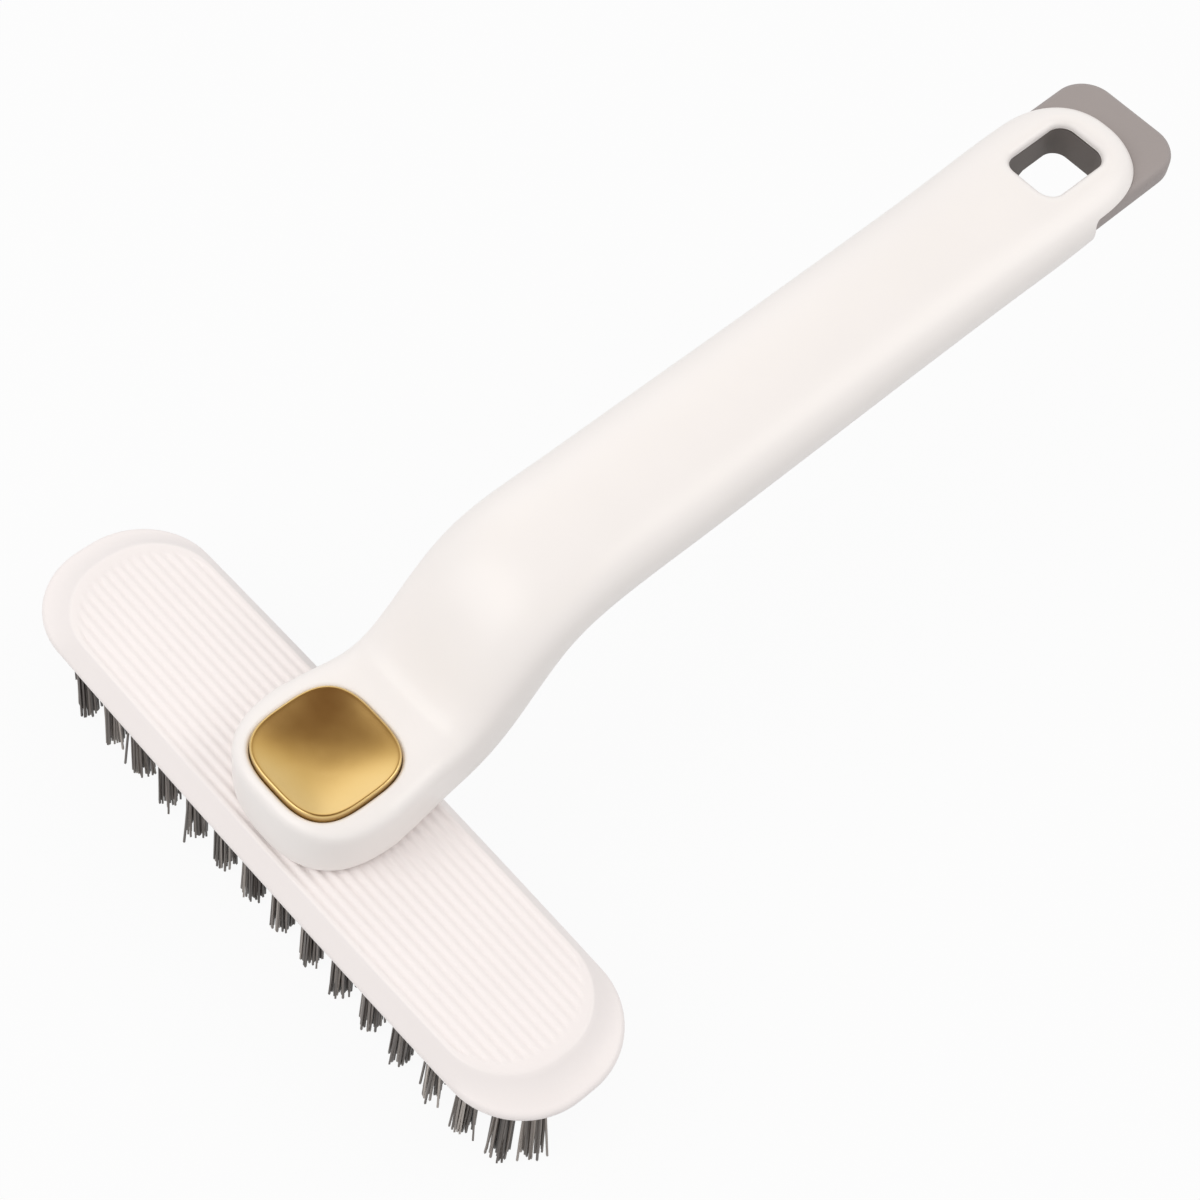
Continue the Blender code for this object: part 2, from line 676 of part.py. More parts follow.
def cone_ring(height):
    """A ring of the cone, with one point for each point of the toothed outline."""
    ring = []
    for point in gear_outline(0, 0):
        point.normalize()
        ring.append(point * cone_radius(height) + Vector((0, 0, height)))
    return ring


def build_lock_gear():
    """The ring that ties hub and core: it slides on teeth in the hub, and its cone grips the core."""
    gear = place(loft([
        gear_outline(0, GEAR_BOTTOM),
        gear_outline(0, HUB_TOP),
        cone_ring(HUB_TOP),
        cone_ring(GEAR_TOP),
    ]), "gear_body")
    well = turned([
        (GEAR_WELL_RADIUS, GEAR_BOTTOM - OVERRUN),
        (GEAR_WELL_RADIUS, GEAR_TOP - GEAR_ROOF),
        (POST_RADIUS + FIT, GEAR_TOP - GEAR_ROOF),
        (POST_RADIUS + FIT, GEAR_TOP + OVERRUN),
    ], 28)
    cut(gear, place(well, "well"))
    return finish(gear, "lock_gear", gear_plastic, gear_body)


def build_lock_spring():
    """The coil that lifts the gear: an unbroken helix of wire between the hub's floor and the gear."""
    bottom = HUB_FLOOR_TOP + FIT + SPRING_WIRE_RADIUS
    top = GEAR_TOP - GEAR_ROOF - FIT - SPRING_WIRE_RADIUS
    steps = int(SPRING_TURNS * 12)
    points = []
    for step in range(steps + 1):
        turn = math.tau * SPRING_TURNS * step / steps
        height = bottom + (top - bottom) * step / steps
        points.append(Vector((SPRING_RADIUS * math.cos(turn), SPRING_RADIUS * math.sin(turn), height)))
    rings = []
    for index, point in enumerate(points):
        along = (points[min(index + 1, steps)] - points[max(index - 1, 0)]).normalized()
        outward = Vector((point.x, point.y, 0)).normalized()
        across = along.cross(outward).normalized()
        rings.append([
            point + SPRING_WIRE_RADIUS * (math.cos(t) * outward + math.sin(t) * across)
            for t in (math.tau * k / 6 for k in range(6))
        ])
    least = (top - bottom) / SPRING_TURNS - 2 * SPRING_WIRE_RADIUS
    print(f"least gap between the spring's turns: {least * 1000:.2f} mm")
    return place(loft(rings), "lock_spring", head_body, spring_steel, math.radians(50))


# Pivot core, screw and washer
def leg_centres():
    """Where the button's legs pass the deck and the core."""
    turns = [math.tau * (index + 0.5) / LEG_COUNT for index in range(LEG_COUNT)]
    return [(LEG_CIRCLE * math.cos(turn), LEG_CIRCLE * math.sin(turn)) for turn in turns]


def build_pivot_core():
    """The insert screwed into the boss: a flange, a conical seat and the post that the head turns on."""
    core = place(turned([
        (CORE_RADIUS, CORE_BOTTOM),
        (CORE_RADIUS, CORE_TOP),
    ], 48), "core_body")
    seat = [(cone_radius(height) + FIT, height) for height in (CORE_BOTTOM - OVERRUN, CORE_WEB)]
    cut(core, place(turned(seat, 48), "seat"))
    post = turned([
        (SPIGOT_RADIUS, SPIGOT_END),
        (SPIGOT_RADIUS, HUB_FLOOR_TOP + FIT),
        (POST_RADIUS, HUB_FLOOR_TOP + FIT),
        (POST_RADIUS, CORE_WEB + SEAM_SINK),
    ], 28)
    join(core, place(post, "post"))
    pilot_end = SPIGOT_END + PIVOT_SHANK_LENGTH
    cut(core, place(turned([(PILOT_RADIUS, SPIGOT_END - OVERRUN), (PILOT_RADIUS, pilot_end)], 14), "pilot"))
    for centre in leg_centres():
        hole = [(LEG_RADIUS + FIT, CORE_BOTTOM), (LEG_RADIUS + FIT, CORE_TOP + OVERRUN)]
        cut(core, place(turned(hole, 12, centre), "leg_hole"))
    for side in (-1, 1):
        seat = CORE_BOTTOM + CORE_HEAD_HEIGHT + FIT
        hole = turned([
            (CORE_HEAD_RADIUS + FIT, CORE_BOTTOM - OVERRUN),
            (CORE_HEAD_RADIUS + FIT, seat),
            (CORE_SHANK_RADIUS + FIT, seat),
            (CORE_SHANK_RADIUS + FIT, CORE_TOP + OVERRUN),
        ], 12, (side * CORE_SCREW_CIRCLE, 0))
        cut(core, place(hole, "screw_hole"))
    return finish(core, "pivot_core", core_plastic, scene_root)


def build_pivot_fasteners():
    """The washer and screw that hold the head up on the post, and the core's own two screws."""
    washer = turned([
        (PIVOT_SHANK_RADIUS + FIT, WASHER_TOP - WASHER_THICKNESS),
        (WASHER_RADIUS, WASHER_TOP - WASHER_THICKNESS),
        (WASHER_RADIUS, WASHER_TOP),
        (PIVOT_SHANK_RADIUS + FIT, WASHER_TOP),
    ], 28)
    caps = [face for face in washer.faces if len(face.verts) > 4]
    bmesh.ops.delete(washer, geom=caps, context="FACES_ONLY")
    bmesh.ops.bridge_loops(washer, edges=[edge for edge in washer.edges if edge.is_boundary])
    place(washer, "pivot_washer", scene_root, screw_steel)
    shank = SPIGOT_END + PIVOT_SHANK_LENGTH - FIT - PIVOT_HEAD_TOP
    sizes = (PIVOT_HEAD_RADIUS, PIVOT_HEAD_HEIGHT, PIVOT_SHANK_RADIUS, shank)
    build_screw("pivot_screw", sizes, Matrix.Translation((0, 0, PIVOT_HEAD_TOP)), scene_root, 16)
    under_head = CORE_BOTTOM + CORE_HEAD_HEIGHT
    sizes = (CORE_HEAD_RADIUS, CORE_HEAD_HEIGHT, CORE_SHANK_RADIUS, DECK_TOP - FIT - under_head)
    for number, side in enumerate((-1, 1), 1):
        matrix = Matrix.Translation((side * CORE_SCREW_CIRCLE, 0, under_head))
        build_screw(f"core_screw_{number}", sizes, matrix, scene_root)


# Button
def button_ring(inset, height):
    """The button's rounded square outline, drawn in by an inset."""
    half_x, half_y = BUTTON_HALF_LENGTH - inset, BUTTON_HALF_WIDTH - inset
    return squircle(half_x, half_y, BUTTON_SQUARENESS, height, BUTTON_OFFSET)


BUTTON_PROFILE_SHARES = (
    (0.00, 0.30, 0.00),
    (0.02, 0.10, 0.00),
    (0.07, 0.00, 0.00),
    (0.13, 0.00, 0.09),
    (0.27, 0.00, 0.42),
    (0.48, 0.00, 0.78),
    (0.75, 0.00, 0.97),
    (0.96, 0.00, 1.00),
)


def build_button():
    """The plated cap with its thumb dish, and the plunger under it whose legs reach the lock gear."""
    skirt_end = BUTTON_TOP - BUTTON_SKIRT
    roof = BUTTON_TOP - BUTTON_DISH - BUTTON_WEB
    rings = [
        button_ring(BUTTON_HALF_WIDTH * 0.96, roof),
        button_ring(BUTTON_WALL, roof),
        button_ring(BUTTON_WALL, skirt_end),
        button_ring(0, skirt_end),
    ]
    for inset, drop, dish in BUTTON_PROFILE_SHARES:
        height = BUTTON_TOP - drop * BUTTON_WEB - dish * BUTTON_DISH
        rings.append(button_ring(inset * BUTTON_HALF_WIDTH, height))
    place(loft(rings), "button_cap", button_body, gold_plating, math.radians(40))

    top = roof - FIT
    plunger = place(loft([
        button_ring(BUTTON_WALL + FIT, top - PLUNGER_PLATE),
        button_ring(BUTTON_WALL + FIT, top),
    ]), "plunger_plate")
    for centre in leg_centres():
        leg = [(LEG_RADIUS, GEAR_TOP + FIT), (LEG_RADIUS, top - PLUNGER_PLATE / 2)]
        join(plunger, place(turned(leg, 12, centre), "leg"))
    finish(plunger, "button_plunger", core_plastic, button_body)


# Handle
def real_station(share, rise, width, above, below, *squareness, start, length, foot, climb):
    """A station in real sizes: place along and height, half width, depths above and below, squareness."""
    sizes = (width * HANDLE_HALF_WIDTH, above * HANDLE_HALF_DEPTH, below * HANDLE_HALF_DEPTH)
    return (start + share * length, foot + rise * climb, *sizes, *squareness)


NECK = dict(start=0, length=NECK_LENGTH, foot=0, climb=NECK_RISE)
GRIP = dict(start=NECK_LENGTH, length=HANDLE_REACH - NECK_LENGTH, foot=NECK_RISE, climb=GRIP_RISE)
STATIONS = [real_station(*row, **NECK) for row in NECK_SHARES]
STATIONS += [real_station(*row, **GRIP) for row in GRIP_SHARES]


def spline(column, at):
    """Smooth interpolation of one column of the stations at a place along the handle."""
    knots = [row[0] for row in STATIONS]
    values = [row[column] for row in STATIONS]
    slopes = []
    for i in range(len(knots)):
        low, high = max(i - 1, 0), min(i + 1, len(knots) - 1)
        slopes.append((values[high] - values[low]) / (knots[high] - knots[low]))
    at = min(max(at, knots[0]), knots[-1])
    i = max(k for k in range(len(knots) - 1) if knots[k] <= at)
    width = knots[i + 1] - knots[i]
    t = (at - knots[i]) / width
    return (
        (2 * t**3 - 3 * t**2 + 1) * values[i]
        + (t**3 - 2 * t**2 + t) * width * slopes[i]
        + (3 * t**2 - 2 * t**3) * values[i + 1]
        + (t**3 - t**2) * width * slopes[i + 1]
    )


def path_point(at):
    """A point of the handle's centreline."""
    return Vector((0, at, BOSS_CENTRE + spline(1, at)))


def path_frame(at):
    """A point of the centreline with the directions along it and up from it."""
    along = (path_point(at + PATH_STEP) - path_point(at - PATH_STEP)).normalized()
    return path_point(at), along, Vector((0, -along.z, along.y))


def section_sizes(at):
    """Half width, depth above, depth below and how square the section is above and below."""
    return tuple(spline(column, at) for column in range(2, 7))


def section_point(turn, half_width, above, below, square_above, square_below):
    """A point of the rounded section at a turn from its right-hand side."""
    c, s = math.cos(turn), math.sin(turn)
    squareness = square_above if s >= 0 else square_below
    depth = above if s >= 0 else below
    x = half_width * math.copysign(abs(c) ** (2 / squareness), c)
    return x, depth * math.copysign(abs(s) ** (2 / squareness), s)


def on_frame(frame, x, h):
    """A point at x across and h up from the centreline."""
    point, _, up = frame
    return Vector((x, 0, 0)) + point + h * up


def spread(start, end, count):
    """Evenly spaced places from start to end, without the start."""
    return [start + (end - start) * k / count for k in range(1, count + 1)]


def body_rings(count):
    """The rings of the handle's closed outer form, from the nose of the boss to the tip."""
    rings = []
    turns = [math.tau * k / count for k in range(count)]
    for u in (0.998, 0.985, 0.96, 0.91, 0.84, 0.74, 0.61, 0.45, 0.25):
        y = NOSE_SHOULDER - u * (NOSE_SHOULDER + BOSS_NOSE)
        frame = (Vector((0, y, BOSS_CENTRE)), Vector((0, 1, 0)), Vector((0, 0, 1)))
        width, above, below, square_above, square_below = section_sizes(0)
        width *= (1 - u**NOSE_ROUND) ** (1 / NOSE_ROUND)
        above *= (1 - u**NOSE_EDGE) ** (1 / NOSE_EDGE)
        sizes = (width, above, below, square_above, square_below)
        rings.append([on_frame(frame, *section_point(t, *sizes)) for t in turns])
    tip_start = HANDLE_REACH - TIP_LENGTH
    stops = [NOSE_SHOULDER] + spread(NOSE_SHOULDER, NECK_LENGTH, 13) + spread(NECK_LENGTH, tip_start, 9)
    for at in stops:
        rings.append([on_frame(path_frame(at), *section_point(t, *section_sizes(at))) for t in turns])
    for v in (0.25, 0.45, 0.62, 0.76, 0.87, 0.94, 0.98, 0.998):
        at = tip_start + v * TIP_LENGTH
        frame = (path_point(at), *path_frame(TAIL_AT)[1:])
        width, above, below, square_above, square_below = section_sizes(at)
        width *= (1 - v**TIP_ROUND) ** (1 / TIP_ROUND)
        above *= (1 - v**TIP_EDGE) ** (1 / TIP_EDGE)
        sizes = (width, above, below, square_above, square_below)
        rings.append([on_frame(frame, *section_point(t, *sizes)) for t in turns])
    return rings


def part_line(below):
    """How far below the centreline the shell and the lower cover meet."""
    return -PARTING_DROP * min(1.0, below / (HANDLE_HALF_DEPTH * 0.8))


def cavity_rings(stops):
    """A cutter of T-shaped section: the hollow inside the walls, and everything below the parting line."""
    rings = []
    for at in stops:
        frame = path_frame(at)
        width, above, below, square, _ = section_sizes(at)
        part, wide, deep = part_line(below), width + OVERRUN, -below - OVERRUN
        inner, roof = width - HANDLE_WALL, above - HANDLE_WALL if at <= CAVITY_END else TAB_TOP / 2
        ring = [(-wide, deep), (wide, deep), (wide, part), (inner, part)]
        ring += [section_point(math.pi * k / 12, inner, roof, roof, square, square) for k in range(13)]
        ring += [(-inner, part), (-wide, part)]
        rings.append([on_frame(frame, x, h) for x, h in ring])
    return rings


TAIL = path_frame(TAIL_AT)
ROOT_HALF_WIDTH = section_sizes(NOTCH_AT)[0] - HANDLE_WALL - SEAM_SINK


def on_tail(x, along, up):
    """A point measured from the tail's own origin, on the centreline under the hanging hole."""
    point, forward, rise = TAIL
    return Vector((x, 0, 0)) + point + along * forward + up * rise


def tail_prism(outline, half_width):
    """A prism across the tail from an outline of (along, up) points."""
    return loft([[on_tail(x, a, u) for a, u in outline] for x in (-half_width, half_width)])


def notch_outline(back, top, far, deep):
    """Side view of the room for the grey tab: up the notch's face, then along under the tongue."""
    outline = [(back, deep)]
    for step in range(6):
        turn = math.tau * 0.25 * step / 5
        along = back + NOTCH_ROUND * (1 - math.cos(turn))
        outline.append((along, top - NOTCH_ROUND * (1 - math.sin(turn))))
    return outline + [(far, top), (far, deep)]


def rounded_outline(half_x, half_y, corner, steps=6):
    """A rounded rectangle as (x, y) pairs."""
    points = []
    for side_x, side_y, start in ((1, 1, 0.0), (-1, 1, 0.25), (-1, -1, 0.5), (1, -1, 0.75)):
        for step in range(steps):
            turn = math.tau * (start + 0.25 * step / (steps - 1))
            x = side_x * (half_x - corner) + corner * math.cos(turn)
            points.append((x, side_y * (half_y - corner) + corner * math.sin(turn)))
    return points


def hole_cutter(*levels):
    """The hanging hole: a rounded square shaft through levels given as (height, grow) pairs."""
    rings = []
    for height, grow in levels:
        outline = rounded_outline(HOLE_HALF_WIDTH + grow, HOLE_HALF_LENGTH + grow, HOLE_CORNER + grow)
        rings.append([on_tail(x, HOLE_SHIFT + y, height) for x, y in outline])
    return loft(rings)


def frame_matrix(at, height):
    """Turns +Z to the handle's own up direction at a place along it, raised by a height."""
    point, along, up = path_frame(at)
    place_at = point + up * height
    return Matrix((
        (1, 0, 0, place_at.x),
        (0, along.y, up.y, place_at.y),
        (0, along.z, up.z, place_at.z),
        (0, 0, 0, 1),
    ))


def standing(bm, at):
    """Stands a turned solid on the centreline at a place along the handle."""
    bmesh.ops.transform(bm, matrix=frame_matrix(at, 0), verts=bm.verts)
    return place(bm, "standing")


def cover_floor(at):
    """How far below the centreline the inside of the lower cover lies."""
    return section_sizes(at)[2] - HANDLE_WALL


def build_handle_shell():
    """The white shell: boss with pocket and deck, bent neck, hollow grip and the tongue at the tail."""
    shell = place(loft(body_rings(36)), "shell_body")
    top, far, deep = TAB_TOP + FIT, TIP_LENGTH + OVERRUN * 4, -HANDLE_HALF_DEPTH * 1.5
    outline = notch_outline(-NOTCH_BACK, top, far, deep)
    cut(shell, place(tail_prism(outline, TAB_HALF_WIDTH * 1.5), "notch"))
    stops = [COVER_START] + spread(COVER_START, NECK_LENGTH, 8) + spread(NECK_LENGTH, CAVITY_END, 8)
    stops += [CAVITY_END + FIT] + spread(CAVITY_END + FIT, NOTCH_AT + OVERRUN, 2)
    cut(shell, place(loft(cavity_rings(stops)), "cavity"))
    root_top, root_end = top - SEAM_SINK, -NOTCH_BACK + NOTCH_ROUND * 3
    outline = [(-ROOT_BACK, deep), (-ROOT_BACK, root_top), (root_end, root_top), (root_end, deep)]
    cut(shell, place(tail_prism(outline, ROOT_HALF_WIDTH), "tab_root_room"))
    crown = section_sizes(TAIL_AT)[1]
    flare = hole_cutter(
        (-HANDLE_HALF_DEPTH, 0),
        (crown - HOLE_FLARE, 0),
        (crown - HOLE_FLARE * 0.5, HOLE_FLARE * 0.13),
        (crown - HOLE_FLARE * 0.13, HOLE_FLARE * 0.5),
        (crown, HOLE_FLARE),
        (crown + OVERRUN, HOLE_FLARE),
    )
    cut(shell, place(flare, "hanging_hole"))

    core_room = [(CORE_RADIUS + FIT, BOSS_BOTTOM - OVERRUN), (CORE_RADIUS + FIT, DECK_BOTTOM)]
    cut(shell, place(turned(core_room, 48), "core_room"))
    pocket = loft([button_ring(-FIT, DECK_TOP), button_ring(-FIT, BOSS_TOP + OVERRUN)])
    cut(shell, place(pocket, "button_pocket"))
    for centre in leg_centres():
        hole = [(LEG_RADIUS + FIT, DECK_BOTTOM - OVERRUN / 2), (LEG_RADIUS + FIT, DECK_TOP + OVERRUN / 2)]
        cut(shell, place(turned(hole, 12, centre), "leg_hole"))
    for side in (-1, 1):
        radius = CORE_SHANK_RADIUS + FIT
        hole = [(radius, DECK_BOTTOM - OVERRUN / 2), (radius, DECK_TOP + OVERRUN / 2)]
        cut(shell, place(turned(hole, 10, (side * CORE_SCREW_CIRCLE, 0)), "screw_hole"))
    for share in COVER_SCREW_SHARES:
        at = share * HANDLE_REACH
        foot = -cover_floor(at) + FIT
        roof = section_sizes(at)[1] - HANDLE_WALL + SEAM_SINK
        join(shell, standing(turned([(COVER_POST_RADIUS, foot), (COVER_POST_RADIUS, roof)], 16), at))
        radius = SMALL_SHANK_RADIUS + FIT
        cut(shell, standing(turned([(radius, foot - OVERRUN), (radius, foot + COVER_SCREW_GRIP)], 10), at))
    return finish(shell, "handle_shell", white_plastic, scene_root, math.radians(32))


def build_lower_cover():
    """The grey part that closes the grip from below and comes out behind the tongue as the hanging tab."""
    rings = []
    stops = [COVER_START + FIT * 1.5] + spread(COVER_START, NECK_LENGTH, 7)
    stops += spread(NECK_LENGTH, CAVITY_END + FIT, 7)
    stops += spread(CAVITY_END + FIT, NOTCH_AT, 2)
    stops.append(NOTCH_AT + COVER_PAST_NOTCH)
    for at in stops:
        frame = path_frame(at)
        width, _, below, _, square = section_sizes(at)
        if at > NOTCH_AT:
            below *= COVER_END_SHARE
        part = part_line(below) - FIT
        outer, inner = [], []
        start = math.asin(min(1.0, (-part / below) ** (square / 2)))
        for k in range(13):
            turn = -start - (math.pi - 2 * start) * k / 12
            outer.append(section_point(turn, width, below, below, square, square))
        start_x = outer[0][0]
        for x, h in outer:
            lift = HANDLE_WALL * (1 - 0.25 * (abs(x) / width) ** 4)
            height = min(h + lift, part)
            if CAVITY_END + FIT * 2 < at <= NOTCH_AT and abs(x) < ROOT_HALF_WIDTH * 0.8:
                height = TAB_BOTTOM + SEAM_SINK
            inner.append((x * (1 - HANDLE_WALL / start_x), height))
        inner[0] = (inner[0][0], part)
        inner[-1] = (inner[-1][0], part)
        rings.append([on_frame(frame, x, h) for x, h in outer + list(reversed(inner))])
    cover = place(loft(rings), "lower_cover_body")

    tab_back = -NOTCH_BACK - TAB_CORNER - FIT
    middle, half = (TAB_REACH + tab_back) / 2, (TAB_REACH - tab_back) / 2
    arc = [(1 - math.cos(turn), 1 - math.sin(turn)) for turn in (math.tau * k / 16 for k in range(5))]
    levels = [(TAB_BOTTOM + rise * TAB_EDGE, inset * TAB_EDGE) for rise, inset in arc]
    levels += [(TAB_TOP - rise * TAB_EDGE, inset * TAB_EDGE) for rise, inset in reversed(arc)]
    tab_rings = []
    for height, inset in levels:
        outline = rounded_outline(TAB_HALF_WIDTH - inset, half - inset, TAB_CORNER - inset)
        tab_rings.append([on_tail(x, middle + y, height) for x, y in outline])
    tab = place(loft(tab_rings), "tab")
    outline = notch_outline(-NOTCH_BACK + FIT, TAB_TOP, TAB_REACH + OVERRUN, TAB_BOTTOM - OVERRUN)
    combine(tab, place(tail_prism(outline, TAB_HALF_WIDTH + OVERRUN), "room"), "INTERSECT")
    root_back, root_end = -ROOT_BACK + FIT, -NOTCH_BACK + NOTCH_ROUND * 2
    root_low, root_high = TAB_BOTTOM + SEAM_SINK / 2, TAB_TOP - SEAM_SINK
    outline = [(root_back, root_low), (root_back, root_high), (root_end, root_high), (root_end, root_low)]
    join(cover, tab, place(tail_prism(outline, ROOT_HALF_WIDTH - FIT), "tab_root"))
    shaft = hole_cutter((-HANDLE_HALF_DEPTH, TAB_HOLE_GROW), (HANDLE_HALF_DEPTH, TAB_HOLE_GROW))
    cut(cover, place(shaft, "hanging_hole"))
    for number, share in enumerate(COVER_SCREW_SHARES, 1):
        at = share * HANDLE_REACH
        below = section_sizes(at)[2]
        seat = -below + SMALL_HEAD_HEIGHT + FIT
        hole = turned([
            (SMALL_HEAD_RADIUS + FIT, -below - OVERRUN),
            (SMALL_HEAD_RADIUS + FIT, seat),
            (SMALL_SHANK_RADIUS + FIT, seat),
            (SMALL_SHANK_RADIUS + FIT, -below + HANDLE_WALL + OVERRUN),
        ], 14)
        cut(cover, standing(hole, at))
        length = COVER_SCREW_GRIP + HANDLE_WALL - SMALL_HEAD_HEIGHT
        sizes = (SMALL_HEAD_RADIUS, SMALL_HEAD_HEIGHT, SMALL_SHANK_RADIUS, length)
        matrix = frame_matrix(at, -below + SMALL_HEAD_HEIGHT)
        build_screw(f"cover_screw_{number}", sizes, matrix, scene_root)
    return finish(cover, "lower_cover", grey_plastic, scene_root, math.radians(32))


build_head_cover()
build_tuft_plate()
build_bristles()
build_plate_screws()
build_lock_gear()
build_lock_spring()
build_pivot_core()
build_pivot_fasteners()
build_button()
build_handle_shell()
build_lower_cover()

# The brush's own origin is the middle of its base
bpy.context.view_layer.update()
pieces = [thing for thing in bpy.data.objects if thing.type == "MESH"]
corners = [thing.matrix_world @ Vector(corner) for thing in pieces for corner in thing.bound_box]
base_y = (min(c.y for c in corners) + max(c.y for c in corners)) / 2
scene_root.location = (0, -base_y, -TIP_PLANE)
print(f"swivel axis at y {-base_y * 1000:.3f} mm, rim level at z {-TIP_PLANE * 1000:.3f} mm")
behind_hole = (HOLE_SHIFT + HOLE_HALF_LENGTH + TAB_REACH) / 2
for label, along, up in (("tab's underside", behind_hole, TAB_BOTTOM), ("hanging hole", HOLE_SHIFT, 0)):
    middle = on_tail(0, along, up) + scene_root.location
    print(f"middle of the {label}", [round(value, 6) for value in middle])
print("tail's direction", [round(value, 5) for value in TAIL[1]])
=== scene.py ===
"""A bathroom cleaning brush: a long ribbed oval head with rows of dark tufts, which swivels under a bent
white handle, with a gold coloured thumb button over the swivel and a grey hanging tab at the tail."""
import math
import random

import bmesh
import bpy
from mathutils import Matrix, Vector


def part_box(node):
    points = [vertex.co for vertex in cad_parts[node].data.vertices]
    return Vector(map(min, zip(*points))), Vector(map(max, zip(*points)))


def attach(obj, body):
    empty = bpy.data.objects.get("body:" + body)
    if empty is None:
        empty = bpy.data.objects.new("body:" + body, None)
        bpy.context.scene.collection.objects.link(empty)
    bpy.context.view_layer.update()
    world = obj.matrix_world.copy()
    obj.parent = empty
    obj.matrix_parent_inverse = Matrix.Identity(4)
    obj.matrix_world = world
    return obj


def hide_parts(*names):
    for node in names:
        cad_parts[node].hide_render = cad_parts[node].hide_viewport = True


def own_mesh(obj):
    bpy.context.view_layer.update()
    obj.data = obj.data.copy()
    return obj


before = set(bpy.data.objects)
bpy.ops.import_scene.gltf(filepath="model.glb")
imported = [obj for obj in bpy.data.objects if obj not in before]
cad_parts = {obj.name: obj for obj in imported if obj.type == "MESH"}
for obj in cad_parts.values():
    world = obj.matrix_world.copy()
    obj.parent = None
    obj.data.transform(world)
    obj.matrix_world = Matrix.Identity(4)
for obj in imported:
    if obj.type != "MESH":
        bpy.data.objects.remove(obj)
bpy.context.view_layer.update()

# Camera. It looks down on the ribbed head from in front and to the left, close enough for the tail to
# shrink into the distance, and leans a little to one side, as the photograph was taken.
SWIVEL_Y, RIM_Z = -0.1021, 0.0295
TURN, HEIGHT, LEAN = math.radians(38.973), math.radians(56.077), math.radians(10.419)
SHIFT_RIGHT, SHIFT_UP, DISTANCE = 0.053858, 0.038901, 0.48455
LENS, SENSOR, NEAR = 74.94, 36.0, 0.01
back = Vector((math.sin(TURN) * math.cos(HEIGHT), -math.cos(TURN) * math.cos(HEIGHT), math.sin(HEIGHT)))
level = Vector((math.cos(TURN), math.sin(TURN), 0))
lift = back.cross(level)
right = math.cos(LEAN) * level + math.sin(LEAN) * lift
up = math.cos(LEAN) * lift - math.sin(LEAN) * level
camera = bpy.data.objects.new("camera", bpy.data.cameras.new("camera"))
bpy.context.scene.collection.objects.link(camera)
camera.data.lens = LENS
camera.data.sensor_width = SENSOR
camera.data.clip_start = NEAR
place = SHIFT_RIGHT * right + SHIFT_UP * up + DISTANCE * back + Vector((0, SWIVEL_Y, RIM_Z))
camera.matrix_world = Matrix.Translation(place) @ Matrix((right, up, back)).transposed().to_4x4()
bpy.context.scene.camera = camera

# Room. A white sweep under the brush, which keeps its shadow, and an even white sky whose mirror image
# darkens to brown only overhead, with soft boxes behind to the right, in front, and on the left.
SKY_LIGHT = 0.73
SKY_LIT = ((0.10, (0.93, 0.925, 0.92)), (0.80, (1.0, 0.995, 0.99)))
SKY_SEEN = (
    (0.58, (1.0, 1.0, 1.0)),
    (0.73, (0.94, 0.85, 0.60)),
    (0.82, (0.84, 0.66, 0.36)),
    (0.89, (0.15, 0.06, 0.015)),
)
PAPER_HALF, PAPER_GREY, PAPER_SEEN = 6.0, 0.60, 0.94
BOX_TINT = (1.0, 0.985, 0.97)


def colour_ramp(nodes, stops):
    """A colour ramp with a colour at each of its stops."""
    ramp = nodes.new("ShaderNodeValToRGB")
    while len(ramp.color_ramp.elements) < len(stops):
        ramp.color_ramp.elements.new(0.5)
    for element, (position, colour) in zip(ramp.color_ramp.elements, stops):
        element.position = position
        element.color = (*colour, 1)
    return ramp


def seen_share(nodes, links, limit):
    """A factor that reaches a limit for camera, glossy and transmitted rays, and is zero for the rest."""
    rays = nodes.new("ShaderNodeLightPath")
    factor = rays.outputs["Is Camera Ray"]
    for kind in ("Is Glossy Ray", "Is Transmission Ray"):
        either = nodes.new("ShaderNodeMath")
        either.operation = "MAXIMUM"
        links.new(factor, either.inputs[0])
        links.new(rays.outputs[kind], either.inputs[1])
        factor = either.outputs[0]
    share = nodes.new("ShaderNodeMath")
    share.operation = "MULTIPLY"
    share.inputs[1].default_value = limit
    links.new(factor, share.inputs[0])
    return share.outputs[0]


def soft_box(name, spot, size, power):
    """A square lamp that faces the brush."""
    lamp = bpy.data.lights.new(name, "AREA")
    lamp.size = size
    lamp.energy = power
    lamp.color = BOX_TINT
    holder = bpy.data.objects.new(name, lamp)
    bpy.context.scene.collection.objects.link(holder)
    holder.location = spot
    holder.rotation_euler = (-Vector(spot)).to_track_quat("-Z", "Y").to_euler()


bpy.context.scene.view_settings.view_transform = "Standard"
world = bpy.data.worlds.new("room")
bpy.context.scene.world = world
world.use_nodes = True
nodes, links = world.node_tree.nodes, world.node_tree.links
nodes.clear()
sky_out = nodes.new("ShaderNodeOutputWorld")
sky_mix = nodes.new("ShaderNodeMixShader")
way = nodes.new("ShaderNodeTexCoord")
split = nodes.new("ShaderNodeSeparateXYZ")
links.new(way.outputs["Generated"], split.inputs[0])
for socket, strength, stops in ((1, SKY_LIGHT, SKY_LIT), (2, 1.0, SKY_SEEN)):
    sky = nodes.new("ShaderNodeBackground")
    sky.inputs["Strength"].default_value = strength
    fade = colour_ramp(nodes, stops)
    links.new(split.outputs["Z"], fade.inputs[0])
    links.new(fade.outputs[0], sky.inputs["Color"])
    links.new(sky.outputs[0], sky_mix.inputs[socket])
links.new(sky_mix.outputs[0], sky_out.inputs[0])
links.new(seen_share(nodes, links, 1.0), sky_mix.inputs[0])

